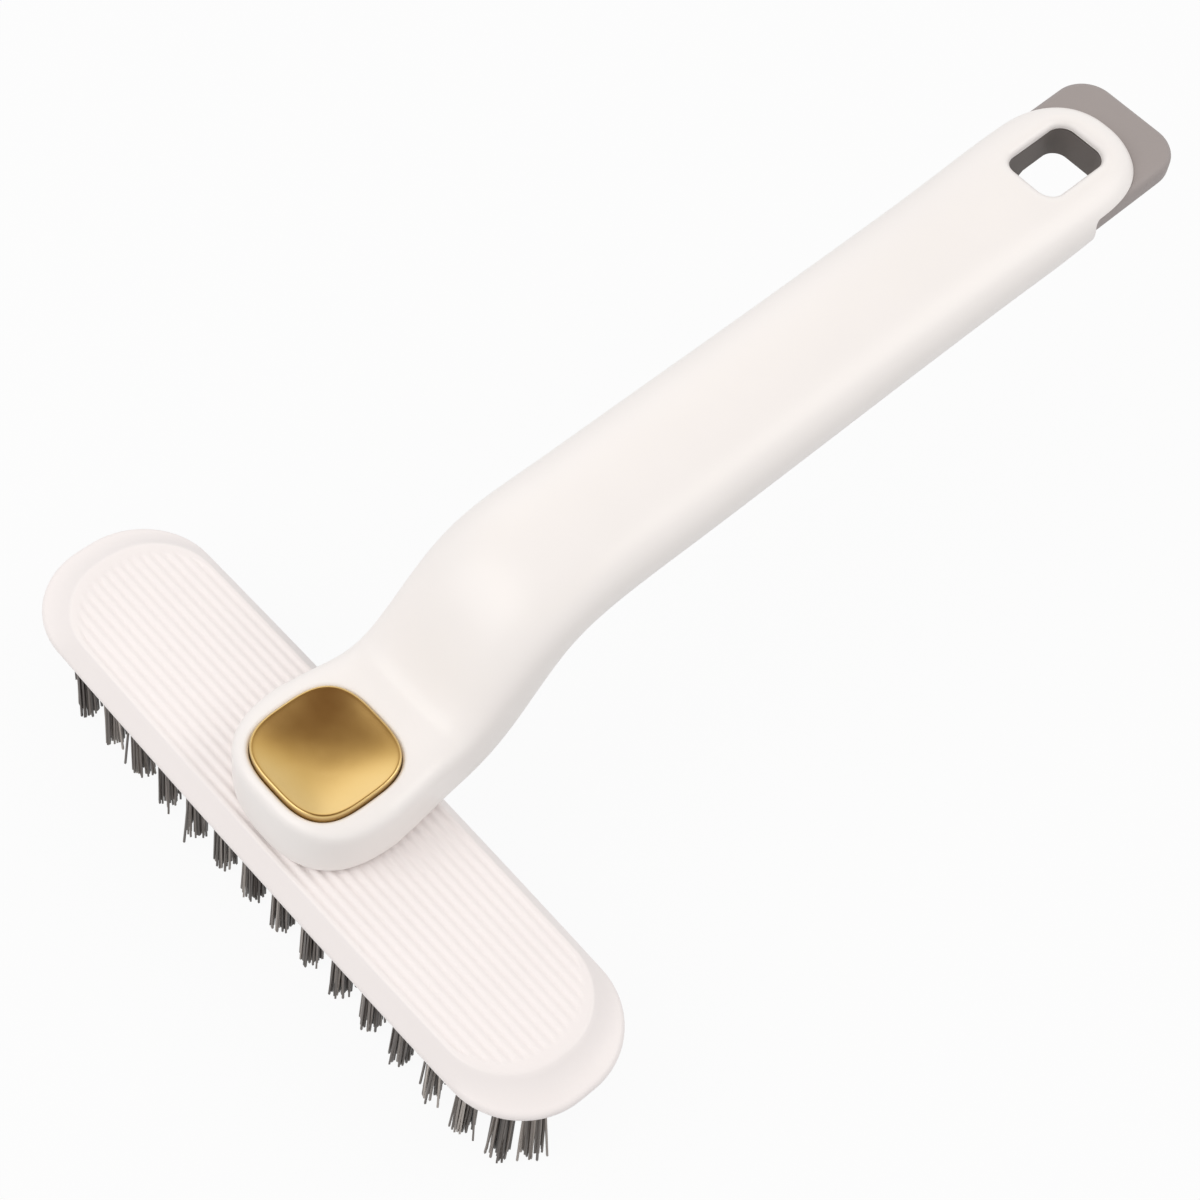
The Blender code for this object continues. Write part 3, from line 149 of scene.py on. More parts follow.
floor_mesh = bmesh.new()
bmesh.ops.create_grid(floor_mesh, x_segments=1, y_segments=1, size=PAPER_HALF)
floor_data = bpy.data.meshes.new("floor")
floor_mesh.to_mesh(floor_data)
floor_mesh.free()
floor = bpy.data.objects.new("floor", floor_data)
bpy.context.scene.collection.objects.link(floor)
paper = bpy.data.materials.new("white_paper")
paper.use_nodes = True
nodes, links = paper.node_tree.nodes, paper.node_tree.links
nodes.clear()
paper_out = nodes.new("ShaderNodeOutputMaterial")
paper_mix = nodes.new("ShaderNodeMixShader")
paper_lit = nodes.new("ShaderNodeBsdfDiffuse")
paper_lit.inputs["Color"].default_value = (PAPER_GREY, PAPER_GREY, PAPER_GREY, 1)
paper_seen = nodes.new("ShaderNodeEmission")
paper_seen.inputs["Strength"].default_value = 1.0
links.new(seen_share(nodes, links, PAPER_SEEN), paper_mix.inputs[0])
links.new(paper_lit.outputs[0], paper_mix.inputs[1])
links.new(paper_seen.outputs[0], paper_mix.inputs[2])
links.new(paper_mix.outputs[0], paper_out.inputs[0])
floor_data.materials.append(paper)

soft_box("box_behind", (0.52, 0.62, 0.90), size=0.6, power=2.7)
soft_box("box_front", (-0.25, -0.75, 0.75), size=0.7, power=3.1)
soft_box("box_left", (-0.80, 0.25, 0.76), size=0.6, power=0.6)


# Head cover. One white moulding with a satin gloss: a rounded rim, a flange that is wider at the ends, a
# soft bank, and a raised pad whose fine ribs run along the head and fade out inside its border. The hub
# that the handle swivels on stands in its middle.
HEAD_HALF, HEAD_SIDE, HEAD_ROUND, HEAD_BOW = 0.0775, 0.0184, 0.0166, 0.0008
ROUND_SHARE = 0.75
PAD_HIGH, PAD_IN_SIDE, PAD_IN_END = 0.0030, 0.0035, 0.0083
PAD_COLUMNS, PAD_ROWS = 110, 150
RIB_PITCH, RIB_DEPTH, RIB_STOP, RIB_FADE, BORDER_FADE = 0.0020, 0.00038, 0.0010, 0.0022, 0.0005
HUB_CLEAR, HUB_FLOOR, HUB_FOOT, HUB_TOP = 0.0108, 0.0014, 0.0010, 0.0062
HUB_IN, HUB_OUT, HUB_BEVEL, HUB_STEPS = 0.0095, 0.0120, 0.0004, 64
# Levels and insets of the edge in mm: the rim's arc, the bank or sweep over it, and the crest at the pad.
RIM_LEVEL, RIM_RISE, BANK_RISE, CREST_RISE, PAD_LEVEL = -2.3, 1.256, 3.63, 0.414, 3.0
SIDE_RIM, SIDE_BANK_LOW, SIDE_BANK_HIGH, SIDE_FOOT, SIDE_SLOPE = 2.0, -1.24, 2.624, 0.304, 1.6
SIDE_CREST, SIDE_CREST_LEVEL, SIDE_CREST_IN = 0.8, 2.2, 3.397
END_RIM, END_SWEEP_LOW, END_SWEEP_HIGH, END_FOOT, END_REACH = 1.3, -1.044, 2.584, 0.96, 6.04
END_LEVEL, END_BASE, END_GAIN, END_START, END_SCALE = -1.04, 1.459, 9.664, 1.208, 4.832
END_CREST, END_CREST_LEVEL, END_CREST_IN = 1.5, 1.5, 8.12
UNDERSIDE = (
    (3.2, 7.6, 0.9),
    (2.2, 2.2, -2.1),
    (2.2, 2.2, -3.0),
    (2.0, 2.0, -3.2),
    (0.6, 0.6, -3.2),
    (0.25, 0.25, -3.05),
    (0.05, 0.05, -2.75),
)
PAD_BORDER = (3.45, 8.2, 3.0)
ROUND_STEPS, BANK_STEPS, BANK_CROWD = 8, 20, 1.3
CLOUD_SCALE, CLOUD_DETAIL, GLOSS_LOW, GLOSS_HIGH = 45.0, 3.0, 0.88, 1.14
GRAIN_DETAIL, GRAIN_STRENGTH = 4.0, 0.5


def in_row(x, y, z):
    """A point of the swivel's frame, whose origin is on the axis at rim level, put in the row's frame."""
    return Vector((x, y + SWIVEL_Y, z + RIM_Z))


def quarter(steps, first=0):
    """Sines and cosines of the steps of a quarter turn."""
    angles = [math.tau * 0.25 * step / steps for step in range(first, steps + 1)]
    return [(math.sin(angle), math.cos(angle)) for angle in angles]


def held(value):
    """A value held between nought and one."""
    return min(max(value, 0.0), 1.0)


def rounded_rectangle(half_x, half_y, corner, points, side_points=1):
    """A rectangle with round corners as (x, y) pairs, with more of them along the two long sides."""
    plan = []
    for sx, sy, start in ((1, 1, 0.0), (-1, 1, 0.25), (-1, -1, 0.5), (1, -1, 0.75)):
        for step in range(points):
            angle = math.tau * (start + 0.25 * step / (points - 1))
            x = sx * (half_x - corner) + corner * math.cos(angle)
            plan.append((x, sy * (half_y - corner) + corner * math.sin(angle)))
        if sx == sy:
            run = half_x - corner
            for step in range(1, side_points):
                plan.append((sx * run * (1 - 2 * step / side_points), sy * half_y))
    return plan


def head_outline(side_in, end_in):
    """Plan of the head, drawn in by an inset at the sides and another at the ends, in the swivel's frame."""
    half, side = HEAD_HALF - end_in, HEAD_SIDE - side_in
    plan = rounded_rectangle(half, side, HEAD_ROUND - ROUND_SHARE * side_in, points=17, side_points=28)
    bow = HEAD_BOW * side / HEAD_SIDE
    return [(x, y + bow * (1 - (x / half) ** 2) * y / side) for x, y in plan]


def side_inset(z):
    """How far the head's long side is drawn in at a level: an arc, a straight bank and an arc."""
    if z < SIDE_BANK_LOW:
        return SIDE_RIM * (1 - math.sqrt(1 - ((z - RIM_LEVEL) / SIDE_RIM) ** 2))
    if z < SIDE_BANK_HIGH:
        return SIDE_FOOT + (z - SIDE_BANK_LOW) / SIDE_SLOPE
    return SIDE_CREST_IN - math.sqrt(max(SIDE_CREST**2 - (z - SIDE_CREST_LEVEL) ** 2, 0.0))


def end_inset(z):
    """The same at the ends: a small arc, a broad hollow sweep and a softer arc."""
    if z < END_SWEEP_LOW:
        return END_RIM * (1 - math.sqrt(1 - ((z - RIM_LEVEL) / END_RIM) ** 2))
    if z < END_SWEEP_HIGH:
        root = math.sqrt(END_BASE + END_GAIN * (z - END_LEVEL)) - END_START
        return END_FOOT + END_REACH * root / END_SCALE
    return END_CREST_IN - math.sqrt(max(END_CREST**2 - (z - END_CREST_LEVEL) ** 2, 0.0))


def start_ring(shape, points):
    """The first ring of a lofted shape: a circle of corners moved to its points."""
    ring = bmesh.ops.create_circle(shape, cap_ends=False, radius=1.0, segments=len(points))["verts"]
    for corner, point in zip(ring, points):
        corner.co = point
    return ring


def ring_edges(shape, ring):
    """The edges between a ring's corners."""
    return [shape.edges.get((ring[i - 1], ring[i])) for i in range(len(ring))]


def next_ring(shape, ring, points):
    """Extrudes a ring of corners to new places, one for each corner."""
    made = bmesh.ops.extrude_edge_only(shape, edges=ring_edges(shape, ring))["geom"]
    fresh = {item for item in made if isinstance(item, bmesh.types.BMVert)}
    moved = []
    for corner in ring:
        moved.append(next(e.other_vert(corner) for e in corner.link_edges if e.other_vert(corner) in fresh))
    for corner, point in zip(moved, points):
        corner.co = point
    return moved


def cap_ring(shape, ring):
    """Fills a ring with one face."""
    bmesh.ops.contextual_create(shape, geom=ring_edges(shape, ring))


def open_skin(shape, rings):
    """Draws a skin through rings of equal count, and gives back its first and last ring of corners."""
    first = ring = start_ring(shape, rings[0])
    for points in rings[1:]:
        ring = next_ring(shape, ring, points)
    return first, ring


def lofted(rings, shape=None):
    """A closed skin through rings of equal count."""
    shape = shape or bmesh.new()
    first, last = open_skin(shape, rings)
    cap_ring(shape, first)
    cap_ring(shape, last)
    return shape


def moulded(shape, name, *finishes, sharp=32):
    """Turns a finished shape into a smooth shaded piece with its materials."""
    bmesh.ops.recalc_face_normals(shape, faces=shape.faces)
    data = bpy.data.meshes.new(name)
    shape.to_mesh(data)
    shape.free()
    data.shade_smooth()
    data.set_sharp_from_angle(angle=math.radians(sharp))
    piece = bpy.data.objects.new(name, data)
    bpy.context.scene.collection.objects.link(piece)
    for finish in finishes:
        data.materials.append(finish)
    return piece


def clouded(name, stops, scale, detail, gloss_range, grain=None):
    """A finish whose colour and gloss follow soft clouds. A grain is scale, detail, strength and depth."""
    made = bpy.data.materials.new(name)
    made.use_nodes = True
    nodes, links = made.node_tree.nodes, made.node_tree.links
    skin = nodes["Principled BSDF"]
    where = nodes.new("ShaderNodeTexCoord")
    cloud = nodes.new("ShaderNodeTexNoise")
    cloud.inputs["Scale"].default_value = scale
    cloud.inputs["Detail"].default_value = detail
    links.new(where.outputs["Object"], cloud.inputs["Vector"])
    tint = colour_ramp(nodes, stops)
    links.new(cloud.outputs["Fac"], tint.inputs[0])
    links.new(tint.outputs[0], skin.inputs["Base Color"])
    gloss = nodes.new("ShaderNodeMapRange")
    gloss.inputs["To Min"].default_value, gloss.inputs["To Max"].default_value = gloss_range
    links.new(cloud.outputs["Fac"], gloss.inputs["Value"])
    links.new(gloss.outputs[0], skin.inputs["Roughness"])
    if grain:
        speck = nodes.new("ShaderNodeTexNoise")
        relief = nodes.new("ShaderNodeBump")
        speck.inputs["Scale"].default_value, speck.inputs["Detail"].default_value = grain[:2]
        relief.inputs["Strength"].default_value, relief.inputs["Distance"].default_value = grain[2:]
        links.new(where.outputs["Object"], speck.inputs["Vector"])
        links.new(speck.outputs["Fac"], relief.inputs["Height"])
        links.new(relief.outputs[0], skin.inputs["Normal"])
    return made, skin


def plastic(name, colour, rough, grain_size, grain_depth, mottle, shine=0.5):
    """Moulded plastic: the faintest mottle, an uneven gloss and a fine orange peel or grain."""
    darker, paler = [c * (1 - mottle) for c in colour], [min(c * (1 + mottle * 0.5), 1) for c in colour]
    stops = ((0.3, darker), (0.7, paler))
    grain = (1.0 / grain_size, GRAIN_DETAIL, GRAIN_STRENGTH, grain_depth)
    gloss_range = (rough * GLOSS_LOW, rough * GLOSS_HIGH)
    made, skin = clouded(name, stops, CLOUD_SCALE, CLOUD_DETAIL, gloss_range, grain)
    skin.inputs["Specular IOR Level"].default_value = shine
    return made


white_ribbed = plastic(
    "white_ribbed", (0.905, 0.850, 0.836), rough=0.40, grain_size=0.0009, grain_depth=0.00001,
    mottle=0.01, shine=0.4,
)
heights = [RIM_LEVEL + RIM_RISE * s for s, c in quarter(ROUND_STEPS)]
heights += [END_SWEEP_LOW + BANK_RISE * (k / BANK_STEPS) ** BANK_CROWD for k in range(1, BANK_STEPS + 1)]
heights += [PAD_LEVEL - CREST_RISE * (1 - k / ROUND_STEPS) ** 2 for k in range(1, ROUND_STEPS + 1)]
profile = [*UNDERSIDE, *[(side_inset(z), end_inset(z), z) for z in heights], PAD_BORDER]
rings = [[in_row(x, y, z / 1000) for x, y in head_outline(s / 1000, e / 1000)] for s, e, z in profile]
cover = bmesh.new()
underside, top = open_skin(cover, rings)
cap_ring(cover, underside)
border = ring_edges(cover, top)

pad_side, pad_half = HEAD_SIDE - PAD_IN_SIDE, HEAD_HALF - PAD_IN_END
pad_round = HEAD_ROUND - ROUND_SHARE * PAD_IN_SIDE
pad = bmesh.ops.create_grid(cover, x_segments=PAD_COLUMNS, y_segments=PAD_ROWS, size=1.0)["verts"]
for corner in pad:
    u, v = corner.co.x, corner.co.y
    y = v * pad_side
    beyond = max(abs(y) - (pad_side - pad_round), 0.0)
    reach = pad_half - pad_round + math.sqrt(max(pad_round**2 - beyond**2, 0.0))
    x = reach * math.sin(u * math.pi / 2)
    fade = held((reach - abs(x) - RIB_STOP) / RIB_FADE) * held((pad_side - abs(y)) / BORDER_FADE)
    fade = fade * fade * (3 - 2 * fade)
    wave = 0.5 + 0.5 * math.cos(math.tau * y / RIB_PITCH)
    bow = HEAD_BOW * (pad_side / HEAD_SIDE) * (1 - (x / pad_half) ** 2) * v
    corner.co = in_row(x, y + bow, PAD_HIGH - RIB_DEPTH * wave * fade)
    if math.hypot(x, y) < HUB_CLEAR:
        corner.co.z = in_row(0, 0, HUB_FLOOR).z
pad = set(pad)
border += [e for e in cover.edges if e.is_boundary and e.verts[0] in pad]
bmesh.ops.triangle_fill(cover, use_beauty=True, edges=border, normal=(0, 0, 1))

hub_side = [
    (HUB_IN, HUB_FLOOR),
    (HUB_IN, HUB_TOP - HUB_BEVEL),
    (HUB_IN + HUB_BEVEL, HUB_TOP),
    (HUB_OUT - HUB_BEVEL, HUB_TOP),
    (HUB_OUT, HUB_TOP - HUB_BEVEL),
    (HUB_OUT, HUB_FOOT),
]
hub_line = [cover.verts.new(in_row(radius, 0, z)) for radius, z in hub_side]
hub_edges = [cover.edges.new(pair) for pair in zip(hub_line, hub_line[1:])]
bmesh.ops.spin(
    cover,
    geom=hub_line + hub_edges,
    cent=in_row(0, 0, 0),
    axis=(0, 0, 1),
    angle=math.tau,
    steps=HUB_STEPS,
    use_merge=True,
)
head_cover = moulded(cover, "ribbed_head_cover", white_ribbed)
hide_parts("head_cover")
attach(head_cover, "head")


# Handle shell. One hollow white moulding: a flat boss with the button's pocket, a neck that swings up and
# back, a long crowned grip, and a thin tongue over the grey tab with a hanging hole whose lip is rolled in.
BOSS_MID, NECK_LONG, NECK_RISE, REACH, GRIP_RISE = 0.0108, 0.0662, 0.0261, 0.2143, 0.0111
HALF_WIDE, HALF_DEEP, WALL = 0.0184, 0.0092, 0.0022
# Each row: shares of the length and of the rise, of the half width and of the half depth above and below
# the middle line, and the squareness above and below it.
NECK_SHARES = (
    (0.000, 0.000, 1.000, 0.815, 0.815, 5.5, 10.0),
    (0.076, 0.000, 1.000, 0.815, 0.815, 5.4, 10.0),
    (0.180, 0.000, 0.945, 0.820, 0.815, 5.2, 10.0),
    (0.271, 0.007, 0.882, 0.785, 0.805, 4.6, 8.0),
    (0.360, 0.026, 0.904, 0.865, 0.830, 3.9, 5.5),
    (0.464, 0.226, 0.903, 0.943, 0.880, 3.2, 4.0),
    (0.556, 0.570, 0.910, 0.992, 0.920, 2.7, 3.4),
    (0.660, 0.844, 0.908, 1.010, 0.940, 2.45, 3.0),
    (0.804, 0.956, 0.883, 1.006, 0.940, 2.35, 2.9),
    (1.000, 1.000, 0.868, 1.000, 0.940, 2.3, 2.8),
)
GRIP_SHARES = (
    (0.096, 0.081, 0.870, 0.995, 0.940, 2.3, 2.8),
    (0.295, 0.263, 0.862, 0.985, 0.935, 2.3, 2.8),
    (0.499, 0.472, 0.857, 0.965, 0.915, 2.3, 2.8),
    (0.701, 0.674, 0.866, 0.930, 0.830, 2.3, 2.8),
    (0.825, 0.806, 0.888, 0.885, 0.730, 2.5, 2.8),
    (0.886, 0.873, 0.888, 0.870, 0.420, 2.5, 2.8),
    (1.000, 1.000, 0.888, 0.850, 0.390, 2.5, 2.8),
)
NOSE, NOSE_ROUND, NOSE_EDGE, SHOULDER = 0.0148, 2.8, 7.0, 0.0050
TIP, TIP_ROUND, TIP_EDGE, NEAR_POINT = 0.0190, 2.5, 4.2, 0.9995
AROUND, NOSE_RINGS, NECK_RINGS, GRIP_RINGS, TIP_RINGS, FINE_TO = 96, 24, 70, 85, 26, 0.070
TAIL_AT = REACH - 0.0184
NOTCH_BACK, NOTCH_FAR, NOTCH_DEEP, NOTCH_SIDE, NOTCH_ROUND = 0.0026, 0.027, -0.0138, 0.0225, 0.0016
NOTCH_AT, UNDER_TONGUE = TAIL_AT - NOTCH_BACK, 0.0035
COVER_START, SEAM_DROP, SEAM_SHARE, OVERCUT = 0.0325, 0.0052, 0.8, 0.002
ROOF_THINS, THIN_ROOF, HOLLOW_RINGS, ROOF_POINTS = 0.0109, 0.0016, 61, 24
HOLE_X, HOLE_Y, HOLE_CORNER, HOLE_ALONG = 0.00685, 0.00930, 0.0036, 0.0012
HOLE_LOW, HOLE_HIGH, COLLAR, COLLAR_FIT, COLLAR_TOP = -0.0092, 0.0105, 0.0010, 0.0001, 0.0044
LIP, LIP_WIDE, LIP_TURN, LIP_STEP, LIP_FOOT = 0.0019, 0.0027, 74, 0.0003, 0.00025
LIP_RINGS, FLARE_OUT, FLARE_UP = 12, 0.0014, 0.0003
BUTTON_X, BUTTON_Y, BUTTON_SQUARE, BUTTON_SHIFT = 0.0129, 0.0125, 3.1, 0.0006
POCKET_GAP, POCKET_EDGE, POCKET_TURN, POCKET_FLARE = 0.00014, 0.0010, 72, 0.0008
POCKET_FLOOR, OVER_BOSS, POCKET_RINGS = 0.0122, 0.0225, 10
CORE_ROOM, CORE_LOW, CORE_HIGH = 0.0132, 0.0013, 0.0106

stations = []
for rows, start, length, foot, climb in (
    (NECK_SHARES, 0.0, NECK_LONG, 0.0, NECK_RISE),
    (GRIP_SHARES, NECK_LONG, REACH - NECK_LONG, NECK_RISE, GRIP_RISE),
):
    for share, rise, wide, above, below, *square in rows:
        sizes = (wide * HALF_WIDE, above * HALF_DEEP, below * HALF_DEEP)
        stations.append((start + share * length, foot + rise * climb, *sizes, *square))


def curve_at(column, at):
    """One column of the stations, drawn as a curve through them."""
    knots = [row[0] for row in stations]
    values = [row[column] for row in stations]
    slopes = []
    for i in range(len(knots)):
        low, high = max(i - 1, 0), min(i + 1, len(knots) - 1)
        slopes.append((values[high] - values[low]) / (knots[high] - knots[low]))
    at = min(max(at, 0.0), REACH)
    i = max(k for k in range(len(knots) - 1) if knots[k] <= at)
    wide = knots[i + 1] - knots[i]
    t = (at - knots[i]) / wide
    return (
        (2 * t**3 - 3 * t**2 + 1) * values[i] + (t**3 - 2 * t**2 + t) * wide * slopes[i]
        + (3 * t**2 - 2 * t**3) * values[i + 1] + (t**3 - t**2) * wide * slopes[i + 1]
    )


def eased(column, at, blend=0.0040):
    """The curve's weighted mean over a short stretch, which evens out what is left between stations."""
    weights = ((-2, 1), (-1, 2), (0, 3), (1, 2), (2, 1))
    return sum(weight * curve_at(column, at + step * blend) for step, weight in weights) / 9


def spine(at):
    """A point on the grip's middle line."""
    return Vector((0, at, BOSS_MID + eased(1, at)))


def across(at, step=0.0009):
    """The middle line's point with its forward and upward directions."""
    forward = (spine(at + step) - spine(at - step)).normalized()
    return spine(at), forward, Vector((0, -forward.z, forward.y))


def girth(at):
    """Half width, depth above and below, and squareness above and below."""
    return tuple(eased(column, at) for column in range(2, 7))


def drawn_in(sizes, u, width_power, depth_power):
    """A section's sizes at a share of the way to a rounded end."""
    wide, above, *rest = sizes
    wide *= (1 - u**width_power) ** (1 / width_power)
    above *= (1 - u**depth_power) ** (1 / depth_power)
    return wide, above, *rest


def squared(value, square):
    """A sine or cosine pressed outwards, which makes a round squarer."""
    return math.copysign(abs(value) ** (2 / square), value)


def rounded(angle, wide, above, below, square_above, square_below):
    """A point of the section at an angle from its right side."""
    c, s = math.cos(angle), math.sin(angle)
    square, deep = (square_above, above) if s >= 0 else (square_below, below)
    return wide * squared(c, square), deep * squared(s, square)


def crown(x, wide, above, square):
    """Height of a crowned top at a distance from its middle."""
    return above * (1 - min(abs(x) / wide, 1.0) ** square) ** (1 / square)


def on_spine(station, x, h):
    """A point x across and h up from the middle line at a station, in the row's frame."""
    return in_row(*(Vector((x, 0, 0)) + station[0] + h * station[2]))


tail = across(TAIL_AT)


def on_tail(x, along, h):
    """A point measured from the middle line under the hanging hole."""
    return in_row(*(Vector((x, 0, 0)) + tail[0] + along * tail[1] + h * tail[2]))


def tail_block(name, side, half):
    """A block at the tail with a given side view, which reaches as far to the left as to the right."""
    return moulded(lofted([[on_tail(x, along, h) for along, h in side] for x in (-half, half)]), name)


def level_circle(radius, z, count, x=0.0, y=0.0):
    """A level circle of points in the swivel's frame."""
    turns = [math.tau * k / count for k in range(count)]
    return [in_row(x + radius * math.cos(a), y + radius * math.sin(a), z) for a in turns]


def carve(piece, tool, operation="DIFFERENCE"):
    """Cuts a tool out of a piece, or joins it on, and takes the tool away."""
    change = piece.modifiers.new("carve", "BOOLEAN")
    change.object = tool
    change.operation = operation
    change.solver = "EXACT"
    graph = bpy.context.evaluated_depsgraph_get()
    result = bpy.data.meshes.new_from_object(piece.evaluated_get(graph), depsgraph=graph)
    piece.modifiers.remove(change)
    piece.data = result
    bpy.data.objects.remove(tool, do_unlink=True)


def shade_carved(piece, sharp=30):
    """Shades a carved piece smooth again, up to its edges."""
    piece.data.shade_smooth()
    piece.data.set_sharp_from_angle(angle=math.radians(sharp))


def notch_side(back_at, top, far, deep):
    """Side view of the room for the tab: up the notch's face, round a corner, along under the tongue."""
    side = [(back_at, deep)]
    side += [(back_at + NOTCH_ROUND * (1 - c), top - NOTCH_ROUND * (1 - s)) for s, c in quarter(ROUND_STEPS)]
    return side + [(far, top), (far, deep)]


def nose_girth(u):
    """The boss's section at a share of the way from its shoulder to the end of its round nose."""
    return drawn_in(girth(0.0), u, NOSE_ROUND, NOSE_EDGE)


def seam_level(below):
    """Level of the seam between shell and cover, which rises where the grip gets thin towards the tail."""
    return -SEAM_DROP * min(1.0, below / (HALF_DEEP * SEAM_SHARE))


def tongue_top(x, along):
    """Height of the tongue's crowned top over the tail's middle line."""
    u = max(along + TAIL_AT - REACH + TIP, 0.0) / TIP
    wide, above, _, square, _ = drawn_in(girth(TAIL_AT + along), u, TIP_ROUND, TIP_EDGE)
    return crown(x, wide, above, square)


def hole_plan(grow):
    """The hanging hole's outline let out by a margin, measured from the middle line under it."""
    plan = rounded_rectangle(HOLE_X + grow, HOLE_Y + grow, HOLE_CORNER + grow, points=14)
    return [(x, HOLE_ALONG + y) for x, y in plan]


def hole_ring(grow, drop):
    """That outline at a given depth under the tongue's top."""
    return [on_tail(x, along, tongue_top(x, along) - drop) for x, along in hole_plan(grow)]


def hole_level(grow, h):
    """That outline at one level."""
    return [on_tail(x, along, h) for x, along in hole_plan(grow)]


def button_plan(inset, square=BUTTON_SQUARE):
    """The button's rounded square as (x, y) pairs, drawn in by an inset."""
    plan = []
    for angle in around:
        c, s = math.cos(angle), math.sin(angle)
        x, y = (BUTTON_X - inset) * squared(c, square), (BUTTON_Y - inset) * squared(s, square)
        plan.append((x, y + BUTTON_SHIFT))
    return plan


def boss_top(x, y):
    """Height of the boss's crowned top over its swivel's origin."""
    wide, above, _, square, _ = nose_girth((SHOULDER - y) / (SHOULDER + NOSE)) if y < SHOULDER else girth(y)
    rise = BOSS_MID if y < SHOULDER else spine(y).z
    return rise + crown(x, wide, above, square)


def pocket_ring(grow, drop):
    """The button's outline let out by a margin, at a given depth under the boss's top."""
    return [in_row(x, y, boss_top(x, y) - drop) for x, y in button_plan(-POCKET_GAP - grow)]


white_shell = plastic(
    "white_shell", (0.905, 0.864, 0.841), rough=0.33, grain_size=0.0012, grain_depth=0.00001,
    mottle=0.01, shine=0.45,
)
around = [math.tau * k / AROUND for k in range(AROUND)]
rings = []
for _, cosine in quarter(NOSE_RINGS)[:-1]:
    u = NEAR_POINT * cosine
    here = (Vector((0, SHOULDER - u * (SHOULDER + NOSE), BOSS_MID)), None, Vector((0, 0, 1)))
    rings.append([on_spine(here, *rounded(a, *nose_girth(u))) for a in around])
stops = [SHOULDER + (FINE_TO - SHOULDER) * k / NECK_RINGS for k in range(NECK_RINGS + 1)]
stops += [FINE_TO + (REACH - TIP - FINE_TO) * k / GRIP_RINGS for k in range(1, GRIP_RINGS + 1)]
for at in stops:
    rings.append([on_spine(across(at), *rounded(a, *girth(at))) for a in around])
for sine, _ in quarter(TIP_RINGS, 1):
    u = NEAR_POINT * sine
    at = REACH - TIP + u * TIP
    sizes = drawn_in(girth(at), u, TIP_ROUND, TIP_EDGE)
    here = (spine(at), None, tail[2])
    rings.append([on_spine(here, *rounded(a, *sizes)) for a in around])
shell = moulded(lofted(rings), "white_handle_shell", white_shell)

side = notch_side(-NOTCH_BACK, UNDER_TONGUE, NOTCH_FAR, NOTCH_DEEP)
carve(shell, tail_block("notch", side, NOTCH_SIDE))
rings = []
for step in range(HOLLOW_RINGS + 1):
    at = COVER_START + (NOTCH_AT + OVERCUT - COVER_START) * step / HOLLOW_RINGS
    wide, above, below, square, _ = girth(at)
    seam = seam_level(below)
    inner, roof = wide - WALL, above - WALL if at < TAIL_AT - ROOF_THINS else THIN_ROOF
    ring = [(-wide - OVERCUT, -below - OVERCUT), (wide + OVERCUT, -below - OVERCUT)]
    ring += [(wide + OVERCUT, seam), (inner, seam)]
    for k in range(ROOF_POINTS + 1):
        ring.append(rounded(math.pi * k / ROOF_POINTS, inner, roof, roof, square, square))
    ring += [(-inner, seam), (-wide - OVERCUT, seam)]
    rings.append([on_spine(across(at), x, h) for x, h in ring])
carve(shell, moulded(lofted(rings), "hollow"))

rings = [hole_level(COLLAR + COLLAR_FIT, HOLE_LOW), hole_level(COLLAR + COLLAR_FIT, COLLAR_TOP)]
rings += [hole_ring(COLLAR + COLLAR_FIT, LIP + LIP_STEP), hole_ring(0.0, LIP + LIP_FOOT)]
for k in range(LIP_RINGS + 1):
    angle = math.radians(LIP_TURN) * k / LIP_RINGS
    grow, drop = LIP_WIDE * (1 - math.cos(angle)), LIP * (1 - math.sin(angle))
    rings.append(hole_ring(grow, drop))
rings += [hole_ring(grow + FLARE_OUT, drop - FLARE_UP), hole_level(grow + FLARE_OUT, HOLE_HIGH)]
carve(shell, moulded(lofted(rings), "hanging_hole"))

rings = [[in_row(x, y, POCKET_FLOOR) for x, y in button_plan(-POCKET_GAP)]]
for k in range(POCKET_RINGS + 1):
    angle = math.radians(POCKET_TURN) * k / POCKET_RINGS
    grow, drop = POCKET_EDGE * (1 - math.cos(angle)), POCKET_EDGE * (1 - math.sin(angle))
    rings.append(pocket_ring(grow, drop))
grow, drop = grow + POCKET_FLARE, drop - POCKET_FLARE * math.tan(math.radians(90 - POCKET_TURN))
rings.append(pocket_ring(grow, drop))
rings.append([in_row(x, y, OVER_BOSS) for x, y in button_plan(-POCKET_GAP - grow)])
carve(shell, moulded(lofted(rings), "pocket"))
room = [level_circle(CORE_ROOM, z, AROUND) for z in (CORE_LOW, CORE_HIGH)]
carve(shell, moulded(lofted(room), "core_room"))
shade_carved(shell)
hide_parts("handle_shell")
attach(shell, "handle")


# Lower cover. A warm grey moulding with a fine matt grain that closes the grip from below and comes out
# behind the tongue as a thick flat tab with rounded edges. A collar on it lines the hanging hole, whose walls
# are a darker grey as painted shade, and two screws hold it from below, with their heads sunk in round
# recesses.
COVER_GAP, COVER_RINGS, COVER_ROOT, ROOT_THIN, SEAM_GAP = 0.00045, 62, 0.0043, 0.5, 0.00013
FLOOR_THINS, SWEEP_POINTS = 0.25, 40
TAB_HIGH, TAB_LOW, TAB_SIDE, TAB_ROUND, TAB_FAR, TAB_EDGE = 0.0032, -0.0027, 0.0150, 0.0078, 0.0275, 0.0018
ROOM_BACK, ROOM_TOP, ROOM_FAR, ROOM_DEEP, ROOM_SIDE = -0.0023, 0.0033, 0.0325, -0.0054, 0.018
ROOT_SIDE_VIEW = ((-0.0106, -0.0025), (-0.0106, 0.0028), (0.0006, 0.0028), (0.0006, -0.0025))
ROOT_SIDE = 0.0133
LINING_LOW, LINING_TOP, LINING_DROP, THROUGH = -0.0010, 0.0040, 0.0004, 0.0092
